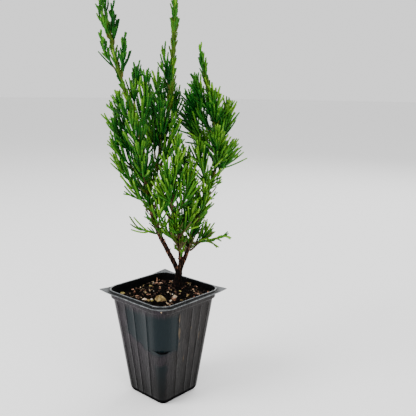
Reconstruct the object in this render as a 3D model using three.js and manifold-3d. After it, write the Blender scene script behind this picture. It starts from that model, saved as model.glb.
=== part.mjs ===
/**
 * A young hollywood juniper in a square plastic nursery pot.
 *
 * Millimetres, +Z up. The origin is the middle of the pot's flat underside, and the pot's
 * four sides face +X, -X, +Y and -Y.
 */
import * as THREE from 'three';
import { mergeVertices } from 'three/addons/utils/BufferGeometryUtils.js';
import Module from 'manifold-3d';

const wasm = await Module();
wasm.setup();

// The pot: half widths are from the pot's axis to the middle of a side.
const POT = {
  height: 107,
  wall: 1.1,
  floor: 1.2,
  footHalf: 25.2,
  footEdge: [[0, 2.8], [1.3, 0.9], [5, 0]],
  shoulderHalf: 37.5,
  shoulderHeight: 97.2,
  collarHalf: 39.4,
  collarCorner: 11,
  collarFlare: 0.5,
  stepHeight: 1.5,
  flangeHalf: 44.45,
  flangeThick: 0.9,
  flangeDrop: 1.7,
  openingHalf: 40.2,
  openingCorner: 14,
  tipCorners: [0.8, 0.8, 0.8, 15],
  footCorner: 7,
  sideCorner: 10.5,
  pocketCorner: 14,
  pocketFrom: 57,
  pocketLedge: 0.6,
  beadWidth: 1,
  beadSlope: 0.5,
};
const CORNER_STEPS = 5;

// Narrow grooves run down every side, measured across it from the pot's two pocketed corners.
const GROOVE = { width: 1.5, depth: 0.55, bottom: 3, top: 95.4, places: [0.29, 0.53, 0.71, 0.87] };
const DRAIN = { radius: 4, place: 13, sides: 10 };

// The potting mix lies higher at the back right than at the front left.
const SOIL = {
  level: 102,
  tiltX: 0.025,
  tiltY: 0.035,
  gap: 0.35,
  edgeDrop: 0.8,
  roughness: 0.8,
  rings: [0.3, 0.6, 0.85],
  footDisc: 8,
};
const BIG_CHIP = { x: 13.5, y: -16, size: [6.5, 4.6, 4.4] };
const CHIPS = { count: 9, smallest: 1.8, largest: 3.2, stretch: [1.5, 1, 0.7], reach: 32 };

// The plant stands turned in its pot: its own +X is the way the left and right crowns spread.
const PLANT_TURN = 42;
const FOOT = { x: -4.7, y: 24.3 };
const GAP = 0.3;

// Every stem's route is given from the trunk's foot: right, away and up, with its two radii.
const STEMS = {
  left_stem: {
    route: [[1, 0, 12], [-3, 0, 22], [-20, -5, 60], [-29, -8, 96], [-32, -12, 133], [-40, -15, 170],
      [-53, -14, 207], [-65, -9, 256]],
    radii: [2.7, 0.85],
    cut: 25,
  },
  front_stem: {
    route: [[1, 0, 12], [3, -1.5, 24], [2, -6, 46], [-1, -12, 66], [-4, -19, 87]],
    radii: [2.4, 1.1],
    cut: 32,
  },
  right_stem: {
    route: [[1, 0, 12], [4.5, 1, 22], [10.5, 3, 38], [17, 7, 62], [29, 11, 92], [39, 11, 130],
      [35, 8, 175], [28, 5, 203]],
    radii: [2.6, 0.9],
    cut: 30,
  },
};
const INNER_STEM = {
  leaves: 98,
  heading: 10,
  route: [[-22, 0, 117], [-17, 7, 142], [-8, 13, 187], [-5, 14, 240]],
  radii: [1.4, 0.8],
};
const TRUNK = {
  radius: 3.6,
  flare: 1.9,
  flareHeight: 4,
  lean: 1 / 12,
  heights: [-3, 0, 2, 5, 9, 15],
  sides: 10,
};
const STEM_SIDES = 6;
const STEM_STEP = 10;

/**
 * The side branches of each stem, as [leaves the stem at, heading, reach, rise]: the height on the
 * stem, the compass heading (0 right, 90 away, 180 left, 270 toward the viewer), and how far out
 * and up the tip lies from there. One that leaves at the stem's top end is its terminal plume.
 */
const SIDE_BRANCHES = {
  left_stem: [
    [56, 178, 22, 5], [62, 290, 18, 26], [70, 12, 17, 34], [80, 320, 20, 34], [84, 192, 20, 27],
    [92, 120, 20, 34], [98, 196, 27, 30], [106, 262, 25, 36], [113, 200, 30, 33], [122, 85, 30, 38],
    [128, 250, 26, 40], [131, 188, 30, 34], [146, 172, 25, 30], [152, 342, 7, 56], [160, 212, 19, 30],
    [178, 10, 5, 36], [206, 330, 5, 36], [214, 185, 16, 31], [236, 350, 1, 34], [242, 195, 9, 32],
    [256, 180, 5, 42],
  ],
  front_stem: [
    [46, 205, 18, 26], [54, 335, 18, 32], [62, 25, 20, 42], [68, 205, 20, 36], [76, 340, 18, 46],
    [82, 250, 16, 48], [87, 300, 10, 64],
  ],
  right_stem: [
    [37, 12, 20, 20], [44, 338, 40, 12], [50, 215, 18, 34], [56, 95, 22, 36], [64, 300, 18, 38],
    [84, 200, 24, 48], [98, 245, 26, 42], [112, 15, 15, 26], [118, 275, 26, 38], [126, 85, 26, 36],
    [134, 178, 30, 38], [142, 2, 9, 40], [152, 190, 27, 38], [162, 262, 20, 32], [174, 195, 20, 32],
    [203, 185, 7, 33],
  ],
  inner_stem: [
    [118, 335, 22, 46], [128, 175, 6, 54], [134, 95, 26, 40], [140, 275, 18, 42], [150, 20, 15, 42],
    [166, 195, 9, 42], [172, 95, 20, 36], [196, 210, 8, 38], [240, 10, 2, 60],
  ],
};

// The plumes: each side branch carries slim sprays all round it, longest near its foot.
const PLUME = {
  stemRadius: [1.25, 0.6],
  stemSides: 3,
  stemSteps: 4,
  sprayEvery: 3,
  sprayRadius: 1.6,
  spread: [[45, 18], [70, 25], [105, 27], [150, 25], [215, 13]],
  narrowing: 0.6,
  leanFoot: 34,
  leanTip: 18,
  uneven: [0.8, 1.2],
  knee: 0.45,
  lift: 0.25,
  bow: 0.12,
  first: 0.14,
  last: 0.97,
};
const GOLDEN_TURN = 2.39996;
const BALL_STEP = 1.5;
const ROOM_STEPS = 60;
const CLEARANCE = 0.45;

const COLOURS = {
  pot: '#22282b',
  soil: '#2c211a',
  bark: '#3b2a22',
  foliage: ['#2f6b1f', '#3c7d25', '#4c8f2b'],
};

const radians = THREE.MathUtils.degToRad;
const lerp = THREE.MathUtils.lerp;
const vector = ([x, y, z]) => new THREE.Vector3(x, y, z);

/** The value at a place on a ramp of [place, value] steps, level beyond its two ends. */
function rampAt(ramp, place) {
  const next = ramp.findIndex(([step]) => step > place);
  if (next === 0) return ramp[0][1];
  if (next < 0) return ramp.at(-1)[1];
  const [[from, low], [to, high]] = [ramp[next - 1], ramp[next]];
  return lerp(low, high, (place - from) / (to - from));
}

/** A repeatable stream of numbers from 0 to 1. */
function seededNumbers(seed) {
  let state = (seed * 7919 + 12345) >>> 0;
  const next = () => {
    state = (Math.imul(state, 1664525) + 1013904223) >>> 0;
    return state / 4294967296;
  };
  next();
  next();
  return next;
}

/**
 * A closed body through rings of points, each counter-clockwise about the way they follow. A ring
 * of a single point closes an end to a tip.
 */
function loft(rings) {
  const positions = rings.flat().flatMap((point) => [point.x, point.y, point.z]);
  const indices = [];
  const firstCount = rings[0].length;
  for (let k = 1; k + 1 < firstCount; k += 1) indices.push(0, k + 1, k);
  let lower = 0;
  for (let level = 0; level + 1 < rings.length; level += 1) {
    const [belowCount, aboveCount] = [rings[level].length, rings[level + 1].length];
    const upper = lower + belowCount;
    const sides = Math.max(belowCount, aboveCount);
    for (let k = 0; k < sides; k += 1) {
      const beside = (k + 1) % sides;
      if (belowCount > 1) indices.push(lower + k, lower + beside, upper + (beside % aboveCount));
      if (aboveCount > 1) indices.push(lower + (k % belowCount), upper + beside, upper + k);
    }
    lower = upper;
  }
  const lastCount = rings.at(-1).length;
  for (let k = 1; k + 1 < lastCount; k += 1) indices.push(lower, lower + k, lower + k + 1);
  const geometry = new THREE.BufferGeometry();
  geometry.setAttribute('position', new THREE.Float32BufferAttribute(positions, 3));
  geometry.setIndex(indices);
  return geometry;
}

/** Rings round a line of points, one radius each; a radius of zero closes to a point. */
function tubeRings(points, radii, sides) {
  const last = points.length - 1;
  const tangents = points.map((_, k) => points[Math.min(k + 1, last)].clone()
    .sub(points[Math.max(k - 1, 0)]).normalize());
  const aside = Math.abs(tangents[0].x) < 0.8 ? new THREE.Vector3(1, 0, 0) : new THREE.Vector3(0, 1, 0);
  return points.map((centre, k) => {
    if (radii[k] === 0) return [centre.clone()];
    const across = aside.clone().addScaledVector(tangents[k], -aside.dot(tangents[k])).normalize();
    const along = tangents[k].clone().cross(across);
    return Array.from({ length: sides }, (_, side) => {
      const angle = (side / sides) * 2 * Math.PI;
      return centre.clone()
        .addScaledVector(across, Math.cos(angle) * radii[k])
        .addScaledVector(along, Math.sin(angle) * radii[k]);
    });
  });
}

/** A geometry as a solid that can be joined and cut. */
function toSolid(geometry) {
  const bare = geometry.clone();
  bare.deleteAttribute('normal');
  bare.deleteAttribute('uv');
  const merged = mergeVertices(bare, 1e-5);
  return new wasm.Manifold(new wasm.Mesh({
    numProp: 3,
    vertProperties: new Float32Array(merged.attributes.position.array),
    triVerts: new Uint32Array(merged.index.array),
  }));
}

function toGeometry(solid) {
  const { vertProperties, triVerts } = solid.getMesh();
  const geometry = new THREE.BufferGeometry();
  geometry.setAttribute('position', new THREE.BufferAttribute(vertProperties, 3));
  geometry.setIndex(new THREE.BufferAttribute(triVerts, 1));
  geometry.computeVertexNormals();
  return geometry;
}

const join = (geometries) => geometries.map(toSolid).reduce((whole, piece) => whole.add(piece));

function namedMesh(name, geometry, color, roughness) {
  const material = new THREE.MeshStandardMaterial({ color, roughness, metalness: 0, flatShading: true });
  const mesh = new THREE.Mesh(geometry, material);
  mesh.name = name;
  return mesh;
}

/**
 * A square ring with rounded corners at one height. Corners go counter-clockwise from the back
 * right one (+X, +Y); `corners` is one radius, or one for each corner.
 */
function squareRing(half, corners, height) {
  const radii = Array.isArray(corners) ? corners : [corners, corners, corners, corners];
  const signs = [[1, 1], [-1, 1], [-1, -1], [1, -1]];
  return radii.flatMap((radius, corner) => {
    const [sx, sy] = signs[corner];
    return Array.from({ length: CORNER_STEPS + 1 }, (_, step) => {
      const angle = (corner + step / CORNER_STEPS) * (Math.PI / 2);
      return new THREE.Vector3(
        sx * (half - radius) + radius * Math.cos(angle),
        sy * (half - radius) + radius * Math.sin(angle),
        height,
      );
    });
  });
}

const SHOULDER_TOP = POT.shoulderHeight + POT.stepHeight;
const bodyHalf = (height) => lerp(POT.footHalf, POT.shoulderHalf, height / POT.shoulderHeight);

/** Pocketed corners are the front one (+X, -Y) and the one behind it (-X, +Y). */
const withPockets = (plain, pocketed) => [plain, pocketed, plain, pocketed];
const COLLAR_CORNERS = withPockets(POT.collarCorner, POT.openingCorner);

/**
 * The rings up the pot's body: its outside, its inside when `inset` is the wall, or what fills it,
 * which also stays `clear` below the pockets' ledges and above the shoulder.
 */
function bodyRings(inset, clear = 0) {
  const { footCorner, sideCorner, pocketCorner, pocketFrom, shoulderHeight } = POT;
  const { collarHalf, openingCorner } = POT;
  const cornerAt = (height) => lerp(footCorner, sideCorner, height / shoulderHeight);
  const ring = (height, corners, shift) => squareRing(bodyHalf(height) - inset, corners, height + shift);
  const start = inset > 0 ? POT.floor : POT.footEdge.at(-1)[0];
  const ledgeTop = pocketFrom + POT.pocketLedge;
  return [
    ring(start, cornerAt(start), clear),
    ring(pocketFrom, cornerAt(pocketFrom), -clear),
    ring(ledgeTop, withPockets(cornerAt(ledgeTop), pocketCorner), -clear),
    ring(shoulderHeight, withPockets(sideCorner, pocketCorner), clear),
    squareRing(collarHalf - inset, inset > 0 ? openingCorner : COLLAR_CORNERS, SHOULDER_TOP + clear),
  ];
}

function potShell() {
  const { height, footHalf, footCorner, flangeHalf, flangeThick, flangeDrop, tipCorners } = POT;
  const { openingHalf, openingCorner, collarHalf, collarFlare, wall, footEdge } = POT;
  const { beadWidth, beadSlope } = POT;
  const flangeTop = height - flangeDrop;
  const underFlange = flangeTop - flangeThick;
  const neck = underFlange - beadSlope;
  const outside = [
    ...footEdge.slice(0, -1).map(([level, inset]) => (
      squareRing(footHalf - inset, footCorner - inset * 0.7, level))),
    ...bodyRings(0),
    squareRing(collarHalf + collarFlare, COLLAR_CORNERS, neck),
    squareRing(openingHalf + beadWidth, openingCorner, underFlange),
  ];
  const flange = [
    squareRing(flangeHalf, tipCorners, underFlange),
    squareRing(flangeHalf, tipCorners, flangeTop),
    squareRing(openingHalf + beadWidth + beadSlope, openingCorner, flangeTop),
    squareRing(openingHalf + beadWidth, openingCorner, height),
    squareRing(openingHalf, openingCorner, height),
  ];
  const inside = [
    squareRing(collarHalf + collarFlare - wall, openingCorner, neck),
    ...bodyRings(wall).reverse(),
  ];
  return toSolid(loft([...outside, ...flange, ...inside]));
}

/** One groove: a bar let into a side, leaning with it from near the floor to under the shoulder. */
function grooveBar(place, side) {
  const ends = [GROOVE.bottom, GROOVE.top].map((height) => {
    const half = bodyHalf(height);
    const across = (2 * place - 1) * half;
    const corners = [[-0.5, GROOVE.depth], [0.5, GROOVE.depth], [0.5, -1], [-0.5, -1]];
    return corners.map(([offset, depth]) => new THREE.Vector3(
      across + offset * GROOVE.width,
      -(half - depth),
      height,
    ).applyAxisAngle(new THREE.Vector3(0, 0, 1), side * (Math.PI / 2)));
  });
  return loft(ends.map((ring) => ring.reverse()));
}

function makePot() {
  let pot = potShell();
  for (let side = 0; side < 4; side += 1) {
    for (const place of GROOVE.places) {
      // The grooves are counted from the pocketed corner, which lies at the other end of
      // every second side.
      const fromCorner = side % 2 === 0 ? 1 - place : place;
      pot = pot.subtract(toSolid(grooveBar(fromCorner, side)));
    }
    const drain = new THREE.CylinderGeometry(DRAIN.radius, DRAIN.radius, 6 * POT.floor, DRAIN.sides);
    drain.rotateX(Math.PI / 2);
    drain.translate(DRAIN.place, DRAIN.place, 0);
    drain.rotateZ(side * (Math.PI / 2));
    pot = pot.subtract(toSolid(drain));
  }
  return namedMesh('pot', toGeometry(pot), COLOURS.pot, 0.38);
}

const soilLevel = (x, y) => SOIL.level + SOIL.tiltX * x + SOIL.tiltY * y;
const FOOT_LEVEL = soilLevel(FOOT.x, FOOT.y);

/** The mix fills the pot to its inner walls; its top is rough, with a level place for the trunk. */
function makeSoil() {
  const random = seededNumbers(3);
  const inset = POT.wall + SOIL.gap;
  const rim = squareRing(POT.collarHalf - inset, POT.openingCorner, 0)
    .map((point) => point.setZ(soilLevel(point.x, point.y) - SOIL.edgeDrop));
  const disc = rim.map((point) => {
    const angle = Math.atan2(point.y, point.x);
    return new THREE.Vector3(
      FOOT.x + SOIL.footDisc * Math.cos(angle),
      FOOT.y + SOIL.footDisc * Math.sin(angle),
      FOOT_LEVEL - GAP,
    );
  });
  const top = SOIL.rings.map((share) => rim.map((point, k) => {
    const ground = point.clone().lerp(disc[k], share);
    return ground.setZ(soilLevel(ground.x, ground.y) - random() * SOIL.roughness);
  }));
  const chips = Array.from({ length: CHIPS.count }, () => {
    const size = lerp(CHIPS.smallest, CHIPS.largest, random());
    const [reach, heading] = [CHIPS.reach * Math.sqrt(random()), 2 * Math.PI * random()];
    const [x, y] = [reach * Math.cos(heading), reach * Math.sin(heading)];
    return { x, y, size: CHIPS.stretch.map((share) => size * share), turn: random() * Math.PI };
  }).filter(({ x, y }) => Math.hypot(x - FOOT.x, y - FOOT.y) > SOIL.footDisc + CHIPS.largest);
  const stones = [{ ...BIG_CHIP, turn: 0.6 }, ...chips].map(({ x, y, size, turn }) => {
    const stone = new THREE.IcosahedronGeometry(1, 0);
    stone.scale(...size);
    stone.rotateX(turn * 0.2);
    stone.rotateZ(turn);
    stone.translate(x, y, soilLevel(x, y) + size[2] * 0.3);
    return stone;
  });
  const body = loft([...bodyRings(inset, SOIL.gap), rim, ...top, disc]);
  return namedMesh('potting_mix', toGeometry(join([body, ...stones])), COLOURS.soil, 0.95);
}

/** A stem's smooth route, its radius along it and the parameter at a height on it. */
function stemLine({ route, radii }) {
  const curve = new THREE.CatmullRomCurve3(route.map(vector), false, 'catmullrom', 0.5);
  const at = (height) => {
    let [low, high] = [0, 1];
    for (let k = 0; k < 40; k += 1) {
      const middle = (low + high) / 2;
      if (curve.getPoint(middle).z < height) low = middle; else high = middle;
    }
    return (low + high) / 2;
  };
  return { curve, at, radiusAt: (along) => lerp(radii[0], radii[1], along), top: route.at(-1)[2] };
}

/** A stretch of a stem between two parameters, as points and radii. */
function stretch(line, from, to, steps) {
  const along = Array.from({ length: steps + 1 }, (_, k) => lerp(from, to, k / steps));
  return { points: along.map((t) => line.curve.getPoint(t)), radii: along.map(line.radiusAt) };
}

const level = (heading) => new THREE.Vector3(Math.cos(radians(heading)), Math.sin(radians(heading)), 0);

/** The place on a stem's bark at a height and heading, and the way out from there. */
function barkAt({ line, mesh }, height, heading) {
  const along = line.at(height);
  const tangent = line.curve.getTangent(along);
  if (height >= line.top) return { bark: line.curve.getPoint(1), outward: tangent };
  const outward = level(heading);
  outward.addScaledVector(tangent, -outward.dot(tangent)).normalize();
  const [hit] = new THREE.Raycaster(line.curve.getPoint(along), outward).intersectObject(mesh);
  return { bark: hit.point, outward };
}

/** Where a branch that sets off toward a point starts, so that its foot is just clear of the bark. */
function footBeside({ bark, outward }, toward, radius, sides) {
  const [foot] = tubeRings([bark, toward], [radius, radius], sides);
  const back = Math.max(...foot.map((point) => bark.clone().sub(point).dot(outward)));
  return bark.clone().addScaledVector(outward, GAP + back);
}

/** The trunk stands on the mix, flares at its foot and forks into the feet of the three stems. */
function makeTrunk() {
  const { radius, flare, flareHeight, lean, heights, sides } = TRUNK;
  const points = heights.map((height) => new THREE.Vector3(lean * height, 0, height));
  const radii = heights.map((height) => radius + flare * Math.exp(-Math.max(height, 0) / flareHeight));
  const arms = Object.values(STEMS).map((stem) => {
    const line = stemLine(stem);
    const arm = stretch(line, 0, line.at(stem.cut), 4);
    return loft(tubeRings(arm.points, arm.radii, STEM_SIDES));
  });
  const cut = new THREE.BoxGeometry(20, 20, 20);
  cut.translate(0, 0, -10);
  const trunk = join([loft(tubeRings(points, radii, sides)), ...arms]).subtract(toSolid(cut));
  return namedMesh('trunk', toGeometry(trunk), COLOURS.bark, 0.9);
}

function makeStem(name, line, from) {
  const steps = Math.max(4, Math.round((line.top * (1 - from)) / STEM_STEP));
  const { points, radii } = stretch(line, from, 1, steps);
  const mesh = namedMesh(name, loft(tubeRings(points, radii, STEM_SIDES)), COLOURS.bark, 0.85);
  mesh.material.side = THREE.DoubleSide;
  return { name, line, mesh };
}

/** The three stems that go on from the trunk, and the inner one that leaves the left stem. */
function makeStems() {
  const stems = Object.entries(STEMS).map(([name, stem]) => {
    const line = stemLine(stem);
    return makeStem(name, line, line.at(stem.cut + GAP));
  });
  const { route, radii, leaves, heading } = INNER_STEM;
  const foot = barkAt(stems[0], leaves, heading);
  const start = footBeside(foot, vector(route[0]), radii[0], STEM_SIDES);
  const inner = stemLine({ route: [start.toArray(), ...route], radii });
  return [...stems, makeStem('inner_stem', inner, 0)];
}

/** The room already taken, as balls along every stem and spray, each with its owner. */
function takenRoom() {
  const balls = [];
  const spaced = (points, radii) => points.slice(1).flatMap((point, k) => {
    const count = Math.max(1, Math.ceil(point.distanceTo(points[k]) / BALL_STEP));
    return Array.from({ length: count }, (_, step) => {
      const share = (step + 1) / count;
      return { centre: points[k].clone().lerp(point, share), radius: lerp(radii[k], radii[k + 1], share) };
    });
  });
  return {
    take(owner, points, radii) {
      spaced(points, radii).forEach((ball) => balls.push({ ...ball, owner }));
    },
    isFree(owner, points, radii) {
      return spaced(points, radii).every(({ centre, radius }) => balls.every((ball) => (
        ball.owner === owner || ball.centre.distanceTo(centre) > ball.radius + radius + CLEARANCE)));
    },
  };
}

/** The middle line of one side branch: out from its stem and then turning upward. */
function branchPoints(stem, [height, heading, reach, rise]) {
  const { curve, at } = stem.line;
  const tip = curve.getPoint(at(height)).addScaledVector(level(heading), reach);
  tip.z += rise;
  const bowed = (start) => {
    const bend = start.clone().lerp(tip, 0.5).addScaledVector(level(heading), reach * PLUME.bow);
    bend.z -= rise * PLUME.bow;
    return new THREE.QuadraticBezierCurve3(start, bend, tip).getPoints(PLUME.stemSteps);
  };
  const foot = barkAt(stem, height, heading);
  return bowed(footBeside(foot, bowed(foot.bark)[1], PLUME.stemRadius[0], PLUME.stemSides));
}

/** The sprays of one side branch: three-point lines from its middle outward, turned upward. */
function spraysOf(points, height, seed) {
  const random = seededNumbers(seed);
  const steps = points.length - 1;
  const length = points[0].distanceTo(points[steps]);
  const count = Math.round(length / PLUME.sprayEvery) + 1;
  const spread = rampAt(PLUME.spread, height);
  return Array.from({ length: count }, (_, k) => {
    const along = lerp(PLUME.first, PLUME.last, (k + 0.7 * random()) / count);
    const turn = k * GOLDEN_TURN + random();
    const lean = radians(lerp(PLUME.leanFoot, PLUME.leanTip, along));
    const reach = spread * (1 - PLUME.narrowing * along) * lerp(...PLUME.uneven, random());
    const step = Math.min(Math.floor(along * steps), steps - 1);
    const root = points[step].clone().lerp(points[step + 1], along * steps - step);
    const tangent = points[step + 1].clone().sub(points[step]).normalize();
    const across = new THREE.Vector3(0, 0, 1).cross(tangent).normalize();
    const side = tangent.clone().cross(across).multiplyScalar(Math.sin(turn))
      .addScaledVector(across, Math.cos(turn));
    const outward = tangent.multiplyScalar(Math.cos(lean)).addScaledVector(side, Math.sin(lean));
    const upward = outward.clone().add(new THREE.Vector3(0, 0, PLUME.lift)).normalize();
    const middle = root.clone().addScaledVector(outward, reach * PLUME.knee);
    return [root, middle, middle.clone().addScaledVector(upward, reach * (1 - PLUME.knee))];
  });
}

/** One mass of foliage: a tapering stem with every spray that finds free room fused to it. */
function makePlume(name, points, height, seed, room) {
  const { stemRadius, stemSides, sprayRadius } = PLUME;
  const last = points.length - 1;
  const radii = points.map((_, k) => (k === last ? 0 : lerp(...stemRadius, k / last)));
  const slim = [0, sprayRadius, 0];
  const sprays = spraysOf(points, height, seed).filter((spray) => room.isFree(name, spray, slim));
  sprays.forEach((spray) => room.take(name, spray, slim));
  const bodies = [
    loft(tubeRings(points, radii, stemSides)),
    ...sprays.map((spray) => loft(tubeRings(spray, slim, 3))),
  ];
  const colour = COLOURS.foliage[seed % COLOURS.foliage.length];
  return namedMesh(name, toGeometry(join(bodies)), colour, 0.7);
}

function makePlant() {
  const plant = new THREE.Group();
  plant.position.set(FOOT.x, FOOT.y, FOOT_LEVEL);
  plant.rotation.z = radians(PLANT_TURN);
  const stems = makeStems();
  const room = takenRoom();
  plant.add(makeTrunk());
  for (const { name, line, mesh } of stems) {
    plant.add(mesh);
    const { points, radii } = stretch(line, 0, 1, ROOM_STEPS);
    room.take(name, points, radii);
  }
  const branches = stems.flatMap((stem) => SIDE_BRANCHES[stem.name].map((row, k) => ({
    name: `${stem.name}_plume_${k + 1}`,
    points: branchPoints(stem, row),
    height: row[0],
  })));
  for (const { name, points } of branches) room.take(name, points, points.map(() => PLUME.stemRadius[0]));
  branches.forEach(({ name, points, height }, k) => {
    plant.add(makePlume(name, points, height, k + 1, room));
  });
  return plant;
}

const pottedJuniper = new THREE.Group();
pottedJuniper.name = 'potted_hollywood_juniper';
pottedJuniper.add(makePot(), makeSoil(), makePlant());

export default pottedJuniper;
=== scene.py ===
"""A young hollywood juniper in its square plastic nursery pot.

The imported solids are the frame: the pot, the mix, the trunk with its stems and the plumes of
foliage are regrown over them with the detail of the real plant. Lengths are millimetres until
they reach a mesh, which is in metres.
"""

import functools
import math

import bmesh
import bpy
import numpy as np
from bpy.props import FloatProperty, FloatVectorProperty, PointerProperty
from mathutils import Matrix, Vector, noise
from mathutils.bvhtree import BVHTree
from mathutils.kdtree import KDTree


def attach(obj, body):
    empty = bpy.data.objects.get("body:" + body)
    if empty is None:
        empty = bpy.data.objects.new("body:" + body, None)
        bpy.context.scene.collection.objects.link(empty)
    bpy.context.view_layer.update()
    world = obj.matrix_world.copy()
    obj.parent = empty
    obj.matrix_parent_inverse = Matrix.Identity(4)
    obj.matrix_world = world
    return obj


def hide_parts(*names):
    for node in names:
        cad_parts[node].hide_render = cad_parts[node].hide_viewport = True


bl_info = {
    "name": "Potted hollywood juniper",
    "version": (1, 0, 0),
    "blender": (4, 5, 0),
    "location": "3D View > Sidebar > Juniper",
    "description": "Grows a young juniper with twisting stems in a square nursery pot",
    "category": "Add Mesh",
}

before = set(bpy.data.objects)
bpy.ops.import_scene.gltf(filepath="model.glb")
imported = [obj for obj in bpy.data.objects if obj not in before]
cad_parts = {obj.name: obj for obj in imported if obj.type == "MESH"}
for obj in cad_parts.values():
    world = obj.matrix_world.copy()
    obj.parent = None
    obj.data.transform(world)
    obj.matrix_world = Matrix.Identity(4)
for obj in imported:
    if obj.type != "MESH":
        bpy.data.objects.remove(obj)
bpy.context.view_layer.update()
MM = 0.001
UP = Vector((0, 0, 1))


# The pot: half widths are from its axis to the middle of a side.
FOOT_HALF, FOOT_CORNER = 25.2, 7
SHOULDER_HALF, SHOULDER = 37.5, 97.2
SIDE_CORNER, COLLAR_CORNER, POCKET_CORNER, POCKET_FROM = 10.5, 11, 14, 57
FLANGE_HALF, TIP_CORNER, FRONT_CORNER = 44.45, 0.8, 15
OPENING_CORNER = 14
POT_FLOOR = 1.2
GROOVE_PLACES, GROOVE_FROM, GROOVE_TO = (0.29, 0.53, 0.71, 0.87), 3, 95.4
DRAIN_RADIUS, DRAIN_PLACE = 4, 13
# Tan stains down the right side: the share across it, from and to which height, and strength.
STAINS = ((0.31, 0.066, 0.094, 0.9), (0.33, 0.058, 0.082, 0.7), (0.55, 0.07, 0.088, 0.6),
          (0.2, 0.05, 0.056, 0.9), (0.74, 0.055, 0.068, 0.7), (0.45, 0.03, 0.05, 0.4))
# Rings of the foot as height and inset, of the collar as height and half width, and of the
# flange and the lip as half width and height.
FOOT_STEPS = [(0, 2.8), (0.12, 2.25), (0.4, 1.75), (0.8, 1.35), (1.4, 1.0), (2.2, 0.65),
              (3.4, 0.28)]
COLLAR_STEPS = [(97.25, 37.62), (97.4, 37.95), (97.65, 38.5), (98, 39.05), (98.35, 39.33),
                (98.8, 39.44), (99.6, 39.5), (101.5, 39.7), (103.2, 39.86), (103.8, 39.98),
                (104.1, 40.3), (104.3, 40.9)]
FLANGE_STEPS = [(44.2, 104.4), (44.38, 104.5), (FLANGE_HALF, 104.75), (44.4, 105.1),
                (44.2, 105.25), (43.9, 105.3)]
LIP_STEPS = [(41.9, 105.25), (41.6, 105.35), (41.42, 105.65), (41.32, 106.1), (41.22, 106.55),
             (41.05, 106.85), (40.8, 106.99), (40.5, 106.97), (40.25, 106.8), (40.05, 106.4),
             (39.6, 105.6), (39.2, 104.7), (38.85, 103.9), (38.65, 101.5), (38.38, 99),
             (37.4, 98.1), (36.4, 97.2)]
# Heights and half widths that part the pot's plain faces, its rubbed edges with their painted
# highlight and its faces of painted shade.
FOOT_TOP, LEDGE_LOW, LEDGE_HIGH, LEDGE_SLOPE = 4.4, 56, 60, 1.1
FLANGE_LOW, FLANGE_TOP, FLANGE_FROM, INSIDE_TOP, BEAD_TOP = 104.4, 105.2, 41.5, 106.2, 106.4
RUBBED_HIGHLIT, PAINTED_SHADE = 1, 2

# The mix lies higher at the back right than at the front left.
MIX_LEVEL, MIX_TILT_X, MIX_TILT_Y, MIX_RINGS = 102, 0.025, 0.035, 46
# What is strewn over it: piece, finish, its two colours and gloss, then how many lie on a square
# metre (0 takes the setting), least and greatest size, length, thickness, tilt, unevenness, detail.
BITS = (
    ("dark_crumbs", "dark_crumb", (0.0005, 0.0004, 0.0003), (0.004, 0.0029, 0.0023), 0.02,
     (0, 0.0004, 0.0013)),
    ("brown_bark_bits", "brown_bark", (0.013, 0.007, 0.005), (0.075, 0.036, 0.023), 0.08,
     (26000, 0.0006, 0.0016, 1.9, 0.45, 1.1)),
    ("red_bark_bits", "red_bark", (0.07, 0.024, 0.014), (0.24, 0.11, 0.065), 0.15,
     (8500, 0.0005, 0.0012, 2.3, 0.4, 1.2)),
    ("tan_bark_bits", "tan_bark", (0.2, 0.12, 0.05), (0.46, 0.34, 0.2), 0.15,
     (8500, 0.0005, 0.0011, 1.9, 0.5, 1.0)),
    ("fine_straws", "straw", (0.14, 0.09, 0.05), (0.34, 0.24, 0.15), 0.15,
     (5200, 0.0002, 0.0004, 14, 0.8, 0.45, 0.0007, 2)),
    ("perlite", "perlite_grain", (0.5, 0.45, 0.36), (0.8, 0.77, 0.7), 0.15,
     (2400, 0.0005, 0.001, 1.15, 0.85, 3, 0.0006, 2)))
CHUNK_TONES = {"tan": ((0.11, 0.07, 0.018), (0.34, 0.25, 0.11)),
               "pink": ((0.24, 0.11, 0.065), (0.46, 0.28, 0.18)),
               "pale": ((0.42, 0.3, 0.19), (0.68, 0.57, 0.43)),
               "olive": ((0.16, 0.13, 0.025), (0.36, 0.3, 0.1))}
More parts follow.
